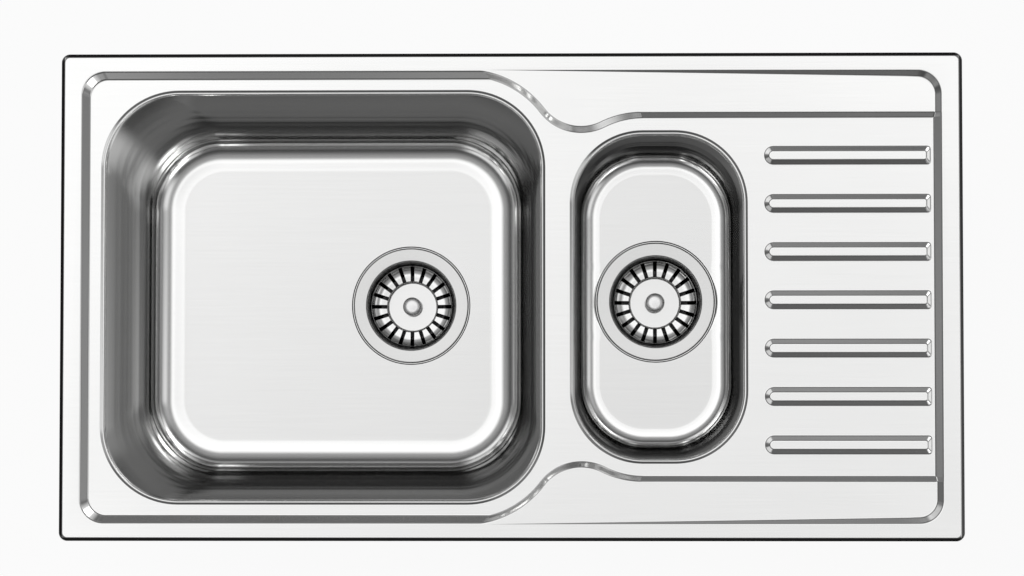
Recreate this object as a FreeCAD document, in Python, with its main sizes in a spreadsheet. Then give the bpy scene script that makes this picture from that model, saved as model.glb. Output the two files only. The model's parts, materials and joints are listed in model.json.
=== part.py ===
import FreeCAD, Part
import math
import os
import Sketcher
from FreeCAD import Vector

# Inset sink with a main bowl, a half bowl and a ribbed drainer, with two basket strainer wastes.
# Millimetres. X runs to the drainer, Y to the back, Z up; Z = 0 is the face of the worktop.

doc = FreeCAD.newDocument("sink_with_drainer")

# Sizes

DIMENSIONS = {
    # pressed deck
    "overall_length": 860.0,
    "overall_width": 465.0,
    "corner_radius": 8.0,
    "rim_height": 6.0,
    "sheet": 0.8,
    "edge_radius": 3.5,
    "lip_bottom": 0.5,
    "rim_end": 18.8,
    "rim_side": 16.0,
    "step_run": 9.0,
    "step_corner": 23.0,
    "well_corner": 17.0,
    "well_depth": 6.5,
    "wall_allowance": 0.3,
    # wavy ledges
    "ledge_offset": 16.7,
    "ledge_fall": 4.0,
    "ledge_run_share": 1.9,
    "ledge_lead": 35.0,
    "ledge_inset": 76.5,
    "ledge_overrun": 2.0,
    "wave_over_main": 3.0,
    "wave_gap_half": 10.7,
    "wave_dip": 50.0,
    "wave_loss_main": 2.2,
    "wave_run_dip": 7.2,
    "wave_run_half": 8.2,
    "wave_run_end": 17.0,
    # drainer ribs
    "rib_count": 7,
    "rib_gap": 14.5,
    "rib_side_gap": 32.2,
    "rib_shift": 3.2,
    "rib_end_gap": 1.4,
    "rib_width": 19.2,
    "rib_top_width": 6.4,
    "rib_end_run": 3.4,
    "rib_corner": 3.6,
    "rib_top_corner": 1.6,
    "rib_height": 3.0,
    # bowls
    "main_length": 426.0,
    "main_end_gap": 9.5,
    "main_side_gap": 9.0,
    "main_corner": 75.0,
    "main_depth": 160.0,
    "main_wall_run": 24.0,
    "main_end_run": 28.5,
    "main_floor_corner": 70.0,
    "main_floor_radius": 36.0,
    "bowl_gap": 22.8,
    "half_length": 170.4,
    "half_side_gap": 48.0,
    "half_corner": 70.0,
    "half_depth": 90.0,
    "half_wall_run": 8.0,
    "half_end_run": 12.0,
    "half_floor_corner": 50.0,
    "half_floor_radius": 13.0,
    "lip_radius": 5.0,
    "lip_inset": 4.2,
    "collar_depth": 8.0,
    "seat_width": 1.2,
    "seat_run": 1.2,
    "waste_hole": 90.0,
    "main_waste_setback": 138.3,
    # strainer cup and its gaskets
    "flange_diameter": 116.0,
    "flange_proud": 0.6,
    "cup_sheet": 0.8,
    "cup_diameter": 85.0,
    "cup_straight": 16.0,
    "cup_depth": 40.0,
    "cup_floor_diameter": 66.0,
    "mouth_radius": 3.4,
    "drain_hole": 13.0,
    "drain_circle": 40.0,
    "drain_count": 6,
    "gasket_thickness": 1.0,
    "gasket_margin": 0.6,
    "under_gasket_thickness": 2.5,
    "under_gasket_width": 9.4,
    # waste body, insert and bolt
    "body_flange_thickness": 4.0,
    "body_flange_width": 10.0,
    "body_bore": 92.0,
    "body_wall": 4.0,
    "body_straight": 18.0,
    "body_depth": 57.0,
    "outlet_diameter": 47.8,
    "outlet_bore": 40.0,
    "outlet_length": 24.0,
    "outlet_shoulder": 2.6,
    "outlet_shoulder_height": 5.0,
    "boss_diameter": 22.0,
    "boss_drop": 6.0,
    "spider_width": 4.0,
    "spider_height": 10.0,
    "spider_reach": 27.4,
    "spider_count": 4,
    "insert_diameter": 16.0,
    "insert_length": 12.0,
    "insert_recess": 2.0,
    "bolt_diameter": 10.0,
    "bolt_head": 16.0,
    "bolt_head_height": 3.0,
    "bolt_length": 22.0,
    "bolt_bore_depth": 10.0,
    "thread_clearance": 0.1,
    "hole_clearance": 0.4,
    # basket, knob and stopper
    "basket_rim": 84.0,
    "basket_rim_width": 2.4,
    "basket_rim_roll": 2.0,
    "basket_height": 20.0,
    "basket_floor": 49.4,
    "basket_sheet": 0.7,
    "basket_wall": 0.9,
    "slot_count": 20,
    "slot_width": 2.4,
    "slot_inner": 53.5,
    "slot_outer": 77.6,
    "stopper_diameter": 60.0,
    "stopper_height": 8.0,
    "stopper_web": 3.0,
    "stopper_pocket": 19.0,
    "stopper_gap": 0.3,
    "knob_diameter": 19.0,
    "knob_height": 8.5,
    "knob_round": 3.8,
    "knob_under_round": 2.5,
    "knob_neck": 6.0,
    "knob_neck_height": 6.3,
    "knob_collar": 10.0,
    "knob_collar_height": 2.0,
    "shank_diameter": 6.0,
    "pin_diameter": 4.6,
    "pin_length": 11.0,
    "pin_clearance": 0.3,
    "clip_thickness": 1.0,
    "clip_ring": 10.0,
    "shank_clearance": 0.1,
    # fixings and pads under the sink
    "seal_gap": 2.9,
    "seal_width": 6.0,
    "seal_corner": 6.5,
    "seal_inner_corner": 2.0,
    "bracket_length": 24.0,
    "bracket_sheet": 1.2,
    "bracket_drop": 26.0,
    "bracket_wing": 1.8,
    "bracket_setback": 12.6,
    "clip_sheet": 0.8,
    "clip_length": 14.0,
    "clip_rise": 18.0,
    "clip_reach": 2.2,
    "clip_hook": 5.0,
    "long_side_clips": 4,
    "long_side_end_gap": 115.0,
    "short_side_clips": 2,
    "short_side_end_gap": 117.5,
    "pad_thickness": 2.5,
    "pad_corner": 6.0,
    "main_pad_end_gap": 66.7,
    "main_pad_side_gap": 93.5,
    "main_pad_waste_gap": 25.0,
    "half_pad_length": 78.0,
    "half_pad_end_share": 0.27273,
    "half_pad_waste_gap": 6.0,
    # room for cuts to run past the piece
    "overrun": 1.0,
}

sheet = doc.addObject("Spreadsheet::Sheet", "Dims")
for row, (alias, number) in enumerate(DIMENSIONS.items(), start=1):
    sheet.set(f"A{row}", alias)
    sheet.set(f"B{row}", str(number))
    sheet.setAlias(f"B{row}", alias)
doc.recompute()


class Size:
    """A sum of named sizes: the text binds a model to the sheet, the value places the first sketch."""

    def __init__(self, text, value):
        self.text = text
        self.value = value

    def join(self, sign, other, swap=False):
        other = other if isinstance(other, Size) else Size(str(other), float(other))
        left, right = (other, self) if swap else (self, other)
        value = {
            "+": lambda: left.value + right.value,
            "-": lambda: left.value - right.value,
            "*": lambda: left.value * right.value,
            "/": lambda: left.value / right.value,
        }[sign]()
        return Size(f"({left.text} {sign} {right.text})", value)

    def __add__(self, other):
        return self.join("+", other)

    def __radd__(self, other):
        return self.join("+", other, swap=True)

    def __sub__(self, other):
        return self.join("-", other)

    def __rsub__(self, other):
        return self.join("-", other, swap=True)

    def __mul__(self, other):
        return self.join("*", other)

    def __rmul__(self, other):
        return self.join("*", other, swap=True)

    def __truediv__(self, other):
        return self.join("/", other)

    def __neg__(self):
        return Size(f"(-{self.text})", -self.value)


class Named:
    """Every size of the sheet by its own name."""


dim = Named()
for alias, number in DIMENSIONS.items():
    setattr(dim, alias, Size(f"Dims.{alias}", number))
ZERO = Size("0", 0.0)


# Sketches

def new_body(label):
    body = doc.addObject("PartDesign::Body", label)
    body.Label = label
    return body


def new_sketch(body, name, plane="XY_Plane", height=None):
    sketch = body.newObject("Sketcher::SketchObject", name)
    origin = [item for item in body.Origin.OriginFeatures if item.Role == plane][0]
    sketch.AttachmentSupport = [(origin, "")]
    sketch.MapMode = "FlatFace"
    if height is not None:
        sketch.setExpression("AttachmentOffset.Base.z", height.text)
    return sketch


def bind(sketch, kind, *targets, size):
    """Add one dimension to a sketch and tie it to the sheet."""
    number = sketch.addConstraint(Sketcher.Constraint(kind, *targets, size.value))
    sketch.setExpression(f"Constraints[{number}]", size.text)


def pin_point(sketch, edge, end, x, y):
    """Fix one end of an edge by its distances from the sketch's axes."""
    if x is not None and abs(x.value) < 1e-9 and x.text == "0":
        sketch.addConstraint(Sketcher.Constraint("PointOnObject", edge, end, -2))
    elif x is not None:
        bind(sketch, "DistanceX", -1, 1, edge, end, size=x)
    if y is not None and abs(y.value) < 1e-9 and y.text == "0":
        sketch.addConstraint(Sketcher.Constraint("PointOnObject", edge, end, -1))
    elif y is not None:
        bind(sketch, "DistanceY", -1, 1, edge, end, size=y)


def draw_line(sketch, start, end):
    return sketch.addGeometry(Part.LineSegment(Vector(*start, 0), Vector(*end, 0)), False)


def draw_arc(sketch, centre, radius, start, end):
    circle = Part.Circle(Vector(*centre, 0), Vector(0, 0, 1), radius)
    return sketch.addGeometry(Part.ArcOfCircle(circle, math.radians(start), math.radians(end)), False)


def polygon(sketch, points):
    """A closed outline of straight edges through points given as pairs of sizes."""
    edges = []
    for index, (x, y) in enumerate(points):
        nx, ny = points[(index + 1) % len(points)]
        edges.append(draw_line(sketch, (x.value, y.value), (nx.value, ny.value)))
    for index, edge in enumerate(edges):
        following = edges[(index + 1) % len(edges)]
        sketch.addConstraint(Sketcher.Constraint("Coincident", edge, 2, following, 1))
    for edge, (x, y) in zip(edges, points):
        pin_point(sketch, edge, 1, x, y)
    return sketch


def rounded_box(sketch, centre_x, centre_y, half_x, half_y, radius):
    """A rectangle with four equal round corners."""
    x0, x1 = (centre_x - half_x), (centre_x + half_x)
    y0, y1 = (centre_y - half_y), (centre_y + half_y)
    r = radius.value
    a0, a1, b0, b1 = x0.value, x1.value, y0.value, y1.value
    edges = [
        draw_line(sketch, (a0 + r, b0), (a1 - r, b0)),
        draw_arc(sketch, (a1 - r, b0 + r), r, -90, 0),
        draw_line(sketch, (a1, b0 + r), (a1, b1 - r)),
        draw_arc(sketch, (a1 - r, b1 - r), r, 0, 90),
        draw_line(sketch, (a1 - r, b1), (a0 + r, b1)),
        draw_arc(sketch, (a0 + r, b1 - r), r, 90, 180),
        draw_line(sketch, (a0, b1 - r), (a0, b0 + r)),
        draw_arc(sketch, (a0 + r, b0 + r), r, 180, 270),
    ]
    for index, edge in enumerate(edges):
        following = edges[(index + 1) % len(edges)]
        sketch.addConstraint(Sketcher.Constraint("Tangent", edge, 2, following, 1))
    for index, kind in ((0, "Horizontal"), (2, "Vertical"), (4, "Horizontal"), (6, "Vertical")):
        sketch.addConstraint(Sketcher.Constraint(kind, edges[index]))
    for index in (3, 5, 7):
        sketch.addConstraint(Sketcher.Constraint("Equal", edges[1], edges[index]))
    bind(sketch, "Radius", edges[1], size=radius)
    pin_point(sketch, edges[6], 1, x0, None)
    pin_point(sketch, edges[2], 1, x1, None)
    pin_point(sketch, edges[0], 1, None, y0)
    pin_point(sketch, edges[4], 1, None, y1)
    return sketch


# Features

def edges_near(shape, test):
    """The names of the edges that pass a test."""
    return [f"Edge{number}" for number, edge in enumerate(shape.Edges, start=1) if test(edge)]


def level_loop(shape, height, inside):
    """The edges that lie flat at one height, with their middle inside a box in plan."""
    def test(edge):
        box = edge.BoundBox
        flat = abs(box.ZMin - height) < 1e-3 and abs(box.ZMax - height) < 1e-3
        middle = edge.valueAt((edge.FirstParameter + edge.LastParameter) / 2)
        return flat and abs(middle.x - inside[0]) < inside[1] and abs(middle.y - inside[2]) < inside[3]
    return edges_near(shape, test)


def ring_edges(shape, radius, height):
    """The full circles of one radius at one height."""
    def test(edge):
        if not isinstance(edge.Curve, Part.Circle):
            return False
        same = abs(edge.Curve.Radius - radius.value) < 1e-3
        return same and abs(edge.Curve.Center.z - height.value) < 1e-3
    return edges_near(shape, test)


def loft(body, name, kind, first, second):
    doc.recompute()
    feature = body.newObject(f"PartDesign::{kind}Loft", name)
    feature.Profile = first
    feature.Sections = [second]
    feature.Ruled = True
    doc.recompute()
    return feature


def fillet(body, name, base, names, radius):
    feature = body.newObject("PartDesign::Fillet", name)
    feature.Base = (base, names)
    feature.setExpression("Radius", radius.text)
    doc.recompute()
    return feature


def pad(body, name, sketch, length, down=False):
    feature = body.newObject("PartDesign::Pad", name)
    feature.Profile = sketch
    feature.setExpression("Length", length.text)
    feature.Reversed = down
    doc.recompute()
    return feature


def cut(body, name, sketch, length, up=False):
    feature = body.newObject("PartDesign::Pocket", name)
    feature.Profile = sketch
    feature.setExpression("Length", length.text)
    feature.Reversed = up
    doc.recompute()
    return feature


def turn(body, name, sketch, kind="Revolution"):
    feature = body.newObject(f"PartDesign::{kind}", name)
    feature.Profile = sketch
    feature.ReferenceAxis = (sketch, ["V_Axis"])
    feature.Angle = 360
    doc.recompute()
    return feature


def repeat_round(body, name, feature, count):
    pattern = body.newObject("PartDesign::PolarPattern", name)
    pattern.Originals = [feature]
    axis = [item for item in body.Origin.OriginFeatures if item.Role == "Z_Axis"][0]
    pattern.Axis = (axis, [""])
    pattern.Angle = 360
    pattern.setExpression("Occurrences", count.text)
    body.Tip = pattern
    doc.recompute()
    return pattern


def stand_at(body, x, y, z):
    for letter, place in (("x", x), ("y", y), ("z", z)):
        body.setExpression(f"Placement.Base.{letter}", place.text)


# Pressed deck

rim_x = dim.overall_length / 2 - dim.rim_end
rim_y = dim.overall_width / 2 - dim.rim_side
well_x = rim_x - dim.step_run
well_y = rim_y - dim.step_run
deck_level = dim.rim_height - dim.well_depth
skin_level = dim.rim_height - dim.sheet / 2

# the bowls stand in a row from the left, each at its own distance from the sides of the well
main_left = dim.main_end_gap - well_x
main_right = main_left + dim.main_length
main_y = well_y - dim.main_side_gap
main_waste_x = main_right - dim.main_waste_setback
half_left = main_right + dim.bowl_gap
half_right = half_left + dim.half_length
half_y = well_y - dim.half_side_gap
half_centre = half_left + dim.half_length / 2

# the waves of the well run round the bowls' corners
crest_x = main_right - dim.main_corner
crest_y = main_y - dim.main_corner
shoulder_x = half_left + dim.half_corner
shoulder_y = half_y - dim.half_corner
wave_main = dim.main_corner + dim.main_side_gap + dim.wave_over_main
wave_run_main = dim.step_run - dim.wave_loss_main
wave_half = dim.half_corner + dim.wave_gap_half
well_end_y = shoulder_y + wave_half


def well_outline(sketch, half_x, half_y, corner, main_r, dip_r, half_r, end_y):
    """The sunk well: square at the left, drawn in by two waves at the right, front and back alike."""
    hx, hy, r = half_x.value, half_y.value, corner.value
    cx, cy, sx, sy = crest_x.value, crest_y.value, shoulder_x.value, shoulder_y.value
    near, far = main_r.value + dip_r.value, half_r.value + dip_r.value
    gap = math.hypot(sx - cx, sy - cy)
    along = (near ** 2 - far ** 2 + gap ** 2) / (2 * gap)
    across = math.sqrt(near ** 2 - along ** 2)
    ux, uy = (sx - cx) / gap, (sy - cy) / gap
    dx, dy = cx + along * ux - across * uy, cy + along * uy + across * ux
    start = math.degrees(math.asin((hy - cy) / main_r.value))
    first = math.degrees(math.atan2(dy - cy, dx - cx))
    second = math.degrees(math.atan2(dy - sy, dx - sx))
    reach = math.hypot(hx - sx, end_y.value - sy)
    bearing = math.degrees(math.atan2(end_y.value - sy, hx - sx))
    last = bearing + math.degrees(math.acos(half_r.value / reach))
    rad = math.radians
    leave = (sx + half_r.value * math.cos(rad(last)), sy + half_r.value * math.sin(rad(last)))
    kink = (cx + main_r.value * math.cos(rad(start)), hy)

    left = draw_line(sketch, (-hx, -hy + r), (-hx, hy - r))
    corner_back = draw_arc(sketch, (-hx + r, hy - r), r, 90, 180)
    top = draw_line(sketch, (-hx + r, hy), kink)
    crest_back = draw_arc(sketch, (cx, cy), main_r.value, first, start)
    dip_back = draw_arc(sketch, (dx, dy), dip_r.value, first + 180, second + 180 + 360 * (second < first))
    shoulder_back = draw_arc(sketch, (sx, sy), half_r.value, last, second)
    end_back = draw_line(sketch, leave, (hx, end_y.value))
    right = draw_line(sketch, (hx, end_y.value), (hx, -end_y.value))
    end_front = draw_line(sketch, (hx, -end_y.value), (leave[0], -leave[1]))
    shoulder_front = draw_arc(sketch, (sx, -sy), half_r.value, -second, -last)
    dip_front = draw_arc(sketch, (dx, -dy), dip_r.value, 180 - second, 180 - first)
    crest_front = draw_arc(sketch, (cx, -cy), main_r.value, -start, -first)
    bottom = draw_line(sketch, (kink[0], -hy), (-hx + r, -hy))
    corner_front = draw_arc(sketch, (-hx + r, -hy + r), r, 180, 270)

    tie = Sketcher.Constraint
    joints = [
        ("Tangent", left, 2, corner_back, 2),
        ("Tangent", corner_back, 1, top, 1),
        ("Coincident", top, 2, crest_back, 2),
        ("Tangent", crest_back, 1, dip_back, 1),
        ("Tangent", dip_back, 2, shoulder_back, 2),
        ("Tangent", shoulder_back, 1, end_back, 1),
        ("Coincident", end_back, 2, right, 1),
        ("Coincident", right, 2, end_front, 1),
        ("Tangent", end_front, 2, shoulder_front, 2),
        ("Tangent", shoulder_front, 1, dip_front, 1),
        ("Tangent", dip_front, 2, crest_front, 2),
        ("Coincident", crest_front, 1, bottom, 1),
        ("Tangent", bottom, 2, corner_front, 2),
        ("Tangent", corner_front, 1, left, 1),
    ]
    for kind, *ends in joints:
        sketch.addConstraint(tie(kind, *ends))
    for kind, edge in (("Vertical", left), ("Horizontal", top), ("Horizontal", bottom)):
        sketch.addConstraint(tie(kind, edge))
    for back, front, radius in (
        (corner_back, corner_front, corner),
        (crest_back, crest_front, main_r),
        (dip_back, dip_front, dip_r),
        (shoulder_back, shoulder_front, half_r),
    ):
        bind(sketch, "Radius", back, size=radius)
        sketch.addConstraint(tie("Equal", back, front))
    for edge, x, y in (
        (crest_back, crest_x, crest_y),
        (crest_front, crest_x, -crest_y),
        (shoulder_back, shoulder_x, shoulder_y),
        (shoulder_front, shoulder_x, -shoulder_y),
    ):
        pin_point(sketch, edge, 3, x, y)
    pin_point(sketch, left, 1, -half_x, None)
    pin_point(sketch, top, 1, None, half_y)
    pin_point(sketch, bottom, 1, None, -half_y)
    pin_point(sketch, right, 1, half_x, end_y)
    pin_point(sketch, right, 2, half_x, -end_y)
    return sketch


def ledge_outline(sketch, left, right, back_left, back_right, corner, inner):
    """A strip along the back of the drainer with one round corner at the right."""
    slope = math.atan2(back_right.value - back_left.value, right.value - left.value)
    r = corner.value
    turn_by = math.degrees(slope)
    length = r * math.tan(math.radians(90 + turn_by) / 2)
    bend = (right.value - length * math.cos(slope), back_right.value - length * math.sin(slope))
    centre = (right.value - r, back_right.value - length)
    back = draw_line(sketch, (left.value, back_left.value), bend)
    round_end = draw_arc(sketch, centre, r, 0, 90 + turn_by)
    side = draw_line(sketch, (right.value, centre[1]), (right.value, inner.value))
    front = draw_line(sketch, (right.value, inner.value), (left.value, inner.value))
    close = draw_line(sketch, (left.value, inner.value), (left.value, back_left.value))
    tie = Sketcher.Constraint
    sketch.addConstraint(tie("Tangent", back, 2, round_end, 2))
    sketch.addConstraint(tie("Tangent", round_end, 1, side, 1))
    sketch.addConstraint(tie("Coincident", side, 2, front, 1))
    sketch.addConstraint(tie("Coincident", front, 2, close, 1))
    sketch.addConstraint(tie("Coincident", close, 2, back, 1))
    sketch.addConstraint(tie("Horizontal", front))
    sketch.addConstraint(tie("Vertical", close))
    bind(sketch, "Radius", round_end, size=corner)
    pin_point(sketch, back, 1, left, back_left)
    pin_point(sketch, side, 2, right, inner)
    sketch.addConstraint(tie("Vertical", side))
    # a short guide line carries the slope of the back edge to the corner it would reach
    guide = draw_line(sketch, bend, (right.value, back_right.value))
    sketch.toggleConstruction(guide)
    sketch.addConstraint(tie("Coincident", guide, 1, back, 2))
    sketch.addConstraint(tie("Parallel", guide, back))
    pin_point(sketch, guide, 2, right, back_right)
    return sketch


def rib_outline(sketch, left, right, half, corner):
    """A rib with a full round at the left and two small corners at the right."""
    a, b, h, r = left.value, right.value, half.value, corner.value
    low = draw_line(sketch, (a + h, -h), (b - r, -h))
    low_corner = draw_arc(sketch, (b - r, -h + r), r, -90, 0)
    side = draw_line(sketch, (b, -h + r), (b, h - r))
    high_corner = draw_arc(sketch, (b - r, h - r), r, 0, 90)
    high = draw_line(sketch, (b - r, h), (a + h, h))
    nose = draw_arc(sketch, (a + h, 0), h, 90, 270)
    edges = [low, low_corner, side, high_corner, high, nose]
    for index, edge in enumerate(edges):
        following = edges[(index + 1) % len(edges)]
        sketch.addConstraint(Sketcher.Constraint("Tangent", edge, 2, following, 1))
    sketch.addConstraint(Sketcher.Constraint("Horizontal", low))
    sketch.addConstraint(Sketcher.Constraint("Vertical", side))
    sketch.addConstraint(Sketcher.Constraint("Equal", low_corner, high_corner))
    sketch.addConstraint(Sketcher.Constraint("PointOnObject", nose, 3, -1))
    bind(sketch, "Radius", low_corner, size=corner)
    bind(sketch, "Radius", nose, size=half)
    pin_point(sketch, side, 1, right, None)
    pin_point(sketch, nose, 3, left + half, None)
    return sketch


deck = new_body("sink_deck")

# the rolled rim, first as a plain lid
outline = rounded_box(
    new_sketch(deck, "rim_outline", height=dim.lip_bottom),
    ZERO,
    ZERO,
    dim.overall_length / 2,
    dim.overall_width / 2,
    dim.corner_radius,
)
lid = pad(deck, "rim_block", outline, dim.rim_height - dim.lip_bottom)
whole = (0, dim.overall_length.value, 0, dim.overall_width.value)
inside = rounded_box(
    new_sketch(deck, "rim_hollow_outline", height=dim.lip_bottom),
    ZERO,
    ZERO,
    dim.overall_length / 2 - dim.sheet,
    dim.overall_width / 2 - dim.sheet,
    dim.corner_radius - dim.sheet,
)
hollow = cut(deck, "rim_hollow", inside, dim.rim_height - dim.sheet - dim.lip_bottom, up=True)
under_edges = level_loop(hollow.Shape, (dim.rim_height - dim.sheet).value, whole)
hollow = fillet(deck, "rolled_edge_inside", hollow, under_edges, dim.edge_radius - dim.sheet)
top_edges = level_loop(hollow.Shape, dim.rim_height.value, whole)
fillet(deck, "rolled_edge", hollow, top_edges, dim.edge_radius)

# the underside of the well and of the ledges, added as solid ground
tub_floor = well_outline(
    new_sketch(deck, "tub_floor", height=deck_level - dim.sheet),
    well_x + dim.wall_allowance,
    well_y + dim.wall_allowance,
    dim.well_corner + dim.wall_allowance,
    wave_main + dim.wall_allowance,
    dim.wave_dip - dim.wall_allowance,
    wave_half + dim.wall_allowance,
    well_end_y + dim.wall_allowance,
)
tub_top = well_outline(
    new_sketch(deck, "tub_top", height=skin_level),
    rim_x + dim.wall_allowance,
    rim_y + dim.wall_allowance,
    dim.step_corner + dim.wall_allowance,
    wave_main + wave_run_main + dim.wall_allowance,
    dim.wave_dip - dim.wave_run_dip - dim.wall_allowance,
    wave_half + dim.wave_run_half + dim.wall_allowance,
    well_end_y + dim.wave_run_end + dim.wall_allowance,
)
tub = loft(deck, "tub", "Additive", tub_floor, tub_top)

ledge_start = crest_x + dim.ledge_offset
ledge_span = rim_x - ledge_start
ledge_slope = dim.ledge_fall / ledge_span
ledge_left = ledge_start - dim.ledge_lead
ledge_inner = rim_y - dim.ledge_inset
ledge_right = rim_x - dim.ledge_fall * dim.ledge_run_share
back_left = rim_y + dim.ledge_lead * ledge_slope * dim.ledge_run_share
back_right = rim_y - dim.ledge_fall * dim.ledge_run_share


def tilted(sketch, height):
    """Tip a sketch so that it falls to the right from the start of the ledge."""
    sketch.AttachmentOffset = FreeCAD.Placement(
        Vector(0, 0, 0),
        FreeCAD.Rotation(Vector(0, 1, 0), math.degrees(math.atan(ledge_slope.value))),
    )
    rise = height + ledge_start * ledge_slope
    sketch.setExpression("AttachmentOffset.Base.z", rise.text)
    sketch.setExpression("AttachmentOffset.Rotation.Angle", f"atan({ledge_slope.text})")
    return sketch


ledge_under = ledge_outline(
    tilted(new_sketch(deck, "ledge_under"), dim.rim_height - dim.sheet),
    ledge_left,
    ledge_right + dim.wall_allowance,
    back_left + dim.wall_allowance,
    back_right + dim.wall_allowance,
    dim.well_corner + dim.wall_allowance,
    ledge_inner,
)
ledge_roof = ledge_outline(
    new_sketch(deck, "ledge_roof", height=skin_level),
    ledge_left,
    rim_x + dim.wall_allowance,
    rim_y + dim.wall_allowance,
    rim_y + dim.wall_allowance,
    dim.step_corner + dim.wall_allowance,
    ledge_inner,
)
ledge_ground = loft(deck, "ledge_ground", "Additive", ledge_under, ledge_roof)


def mirror_front(name, feature):
    mirrored = deck.newObject("PartDesign::Mirrored", name)
    mirrored.Originals = [feature]
    plane = [item for item in deck.Origin.OriginFeatures if item.Role == "XZ_Plane"][0]
    mirrored.MirrorPlane = (plane, [""])
    deck.Tip = mirrored
    doc.recompute()
    return mirrored


mirror_front("ledge_ground_front", ledge_ground)

# the well and the ledges pressed into it
well_floor = well_outline(
    new_sketch(deck, "well_floor", height=deck_level),
    well_x,
    well_y,
    dim.well_corner,
    wave_main,
    dim.wave_dip,
    wave_half,
    well_end_y,
)
well_top = well_outline(
    new_sketch(deck, "well_top", height=dim.rim_height),
    rim_x,
    rim_y,
    dim.step_corner,
    wave_main + wave_run_main,
    dim.wave_dip - dim.wave_run_dip,
    wave_half + dim.wave_run_half,
    well_end_y + dim.wave_run_end,
)
well = loft(deck, "well", "Subtractive", well_floor, well_top)
ledge_face = ledge_outline(
    tilted(new_sketch(deck, "ledge_face"), dim.rim_height),
    ledge_left,
    ledge_right,
    back_left,
    back_right,
    dim.well_corner,
    ledge_inner,
)
ledge_mouth = ledge_outline(
    new_sketch(deck, "ledge_mouth", height=dim.rim_height + dim.ledge_overrun),
    ledge_left,
    rim_x + dim.ledge_overrun * dim.ledge_run_share,
    rim_y + dim.ledge_overrun * dim.ledge_run_share,
    rim_y + dim.ledge_overrun * dim.ledge_run_share,
    dim.step_corner,
    ledge_inner,
)
ledge = loft(deck, "ledge", "Subtractive", ledge_face, ledge_mouth)
mirror_front("ledge_front", ledge)

# ribs, raised from below so that the sheet keeps its thickness
rib_left = half_right + dim.rib_gap
rib_right = well_x - dim.rib_end_gap
rib_field = (well_end_y - dim.rib_side_gap) * 2


def rib_pair(stem, kind, foot_level, top_level, allowance):
    flank = (dim.rib_width - dim.rib_top_width) / 2
    foot = rib_outline(
        new_sketch(deck, stem + "_foot", height=foot_level),
        rib_left + allowance,
        rib_right - allowance,
        dim.rib_width / 2 - allowance,
        dim.rib_corner,
    )
    crown = rib_outline(
        new_sketch(deck, stem + "_crown", height=top_level),
        rib_left + flank + allowance,
        rib_right - dim.rib_end_run - allowance,
        dim.rib_top_width / 2 - allowance,
        dim.rib_top_corner,
    )
    for sketch in (foot, crown):
        sketch.setExpression("AttachmentOffset.Base.y", (-rib_field / 2 - dim.rib_shift).text)
    return loft(deck, stem, kind, foot, crown)


rib = rib_pair("rib", "Additive", deck_level, deck_level + dim.rib_height, ZERO)
rib_hollow = rib_pair(
    "rib_hollow",
    "Subtractive",
    deck_level - dim.sheet,
    deck_level + dim.rib_height - dim.sheet,
    dim.wall_allowance,
)
ribs = deck.newObject("PartDesign::LinearPattern", "ribs")
ribs.Originals = [rib, rib_hollow]
y_axis = [item for item in deck.Origin.OriginFeatures if item.Role == "Y_Axis"][0]
ribs.Direction = (y_axis, [""])
ribs.setExpression("Length", rib_field.text)
ribs.setExpression("Occurrences", dim.rib_count.text)
deck.Tip = ribs
doc.recompute()


# collars that the bowls are welded to

class Bowl:
    """The sizes of one bowl, from the opening in the deck to its floor."""

    def __init__(self, name, left, length, half_y, corner, floor_corner, depth, runs, floor_radius):
        self.name = name
        self.centre = left + length / 2
        self.half_x = length / 2 - dim.lip_inset
        self.half_y = half_y - dim.lip_inset
        self.corner = corner - dim.lip_inset
        self.corner_loss = self.corner - floor_corner
        self.depth = depth
        self.run_x, self.run_y = runs
        self.floor_radius = floor_radius
        self.floor = deck_level - depth

    def level(self, body, name, drop, grow, height):
        """The opening at a drop below the deck, grown by a wall."""
        share = drop / self.depth
        return rounded_box(
            new_sketch(body, name, height=height),
            self.centre,
            ZERO,
            self.half_x - self.run_x * share + grow,
            self.half_y - self.run_y * share + grow,
            self.corner - self.corner_loss * share + grow,
        )

    def around(self):
        """A box in plan that just holds the opening and its wall."""
        wall = 2 * dim.sheet.value
        return (self.centre.value, self.half_x.value + wall, 0, self.half_y.value + wall)


main = Bowl(
    "main_bowl",
    main_left,
    dim.main_length,
    main_y,
    dim.main_corner,
    dim.main_floor_corner,
    dim.main_depth,
    (dim.main_wall_run, dim.main_end_run),
    dim.main_floor_radius,
)
half = Bowl(
    "half_bowl",
    half_left,
    dim.half_length,
    half_y,
    dim.half_corner,
    dim.half_floor_corner,
    dim.half_depth,
    (dim.half_wall_run, dim.half_end_run),
    dim.half_floor_radius,
)
collar_level = deck_level - dim.collar_depth
for bowl in (main, half):
    tag = bowl.name
    upper = bowl.level(deck, tag + "_collar_upper", ZERO, dim.sheet, deck_level - dim.sheet / 2)
    lower = bowl.level(deck, tag + "_collar_lower", dim.collar_depth, dim.sheet, collar_level)
    collar = loft(deck, tag + "_collar", "Additive", upper, lower)
    root_loop = level_loop(collar.Shape, (deck_level - dim.sheet).value, bowl.around())
    fillet(deck, tag + "_collar_root", collar, root_loop, dim.lip_radius - dim.sheet)
for bowl in (main, half):
    tag = bowl.name
    upper = bowl.level(deck, tag + "_opening_upper", ZERO, ZERO, deck_level)
    lower = bowl.level(deck, tag + "_opening_lower", dim.collar_depth, ZERO, collar_level)
    opening = loft(deck, tag + "_opening", "Subtractive", upper, lower)
    rim_loop = level_loop(opening.Shape, deck_level.value, bowl.around())
    fillet(deck, tag + "_lip", opening, rim_loop, dim.lip_radius)


# Bowls

seat_depth = dim.gasket_thickness + dim.cup_sheet - dim.flange_proud
seat_r = dim.flange_diameter / 2 + dim.seat_width
hole_r = dim.waste_hole / 2


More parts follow.
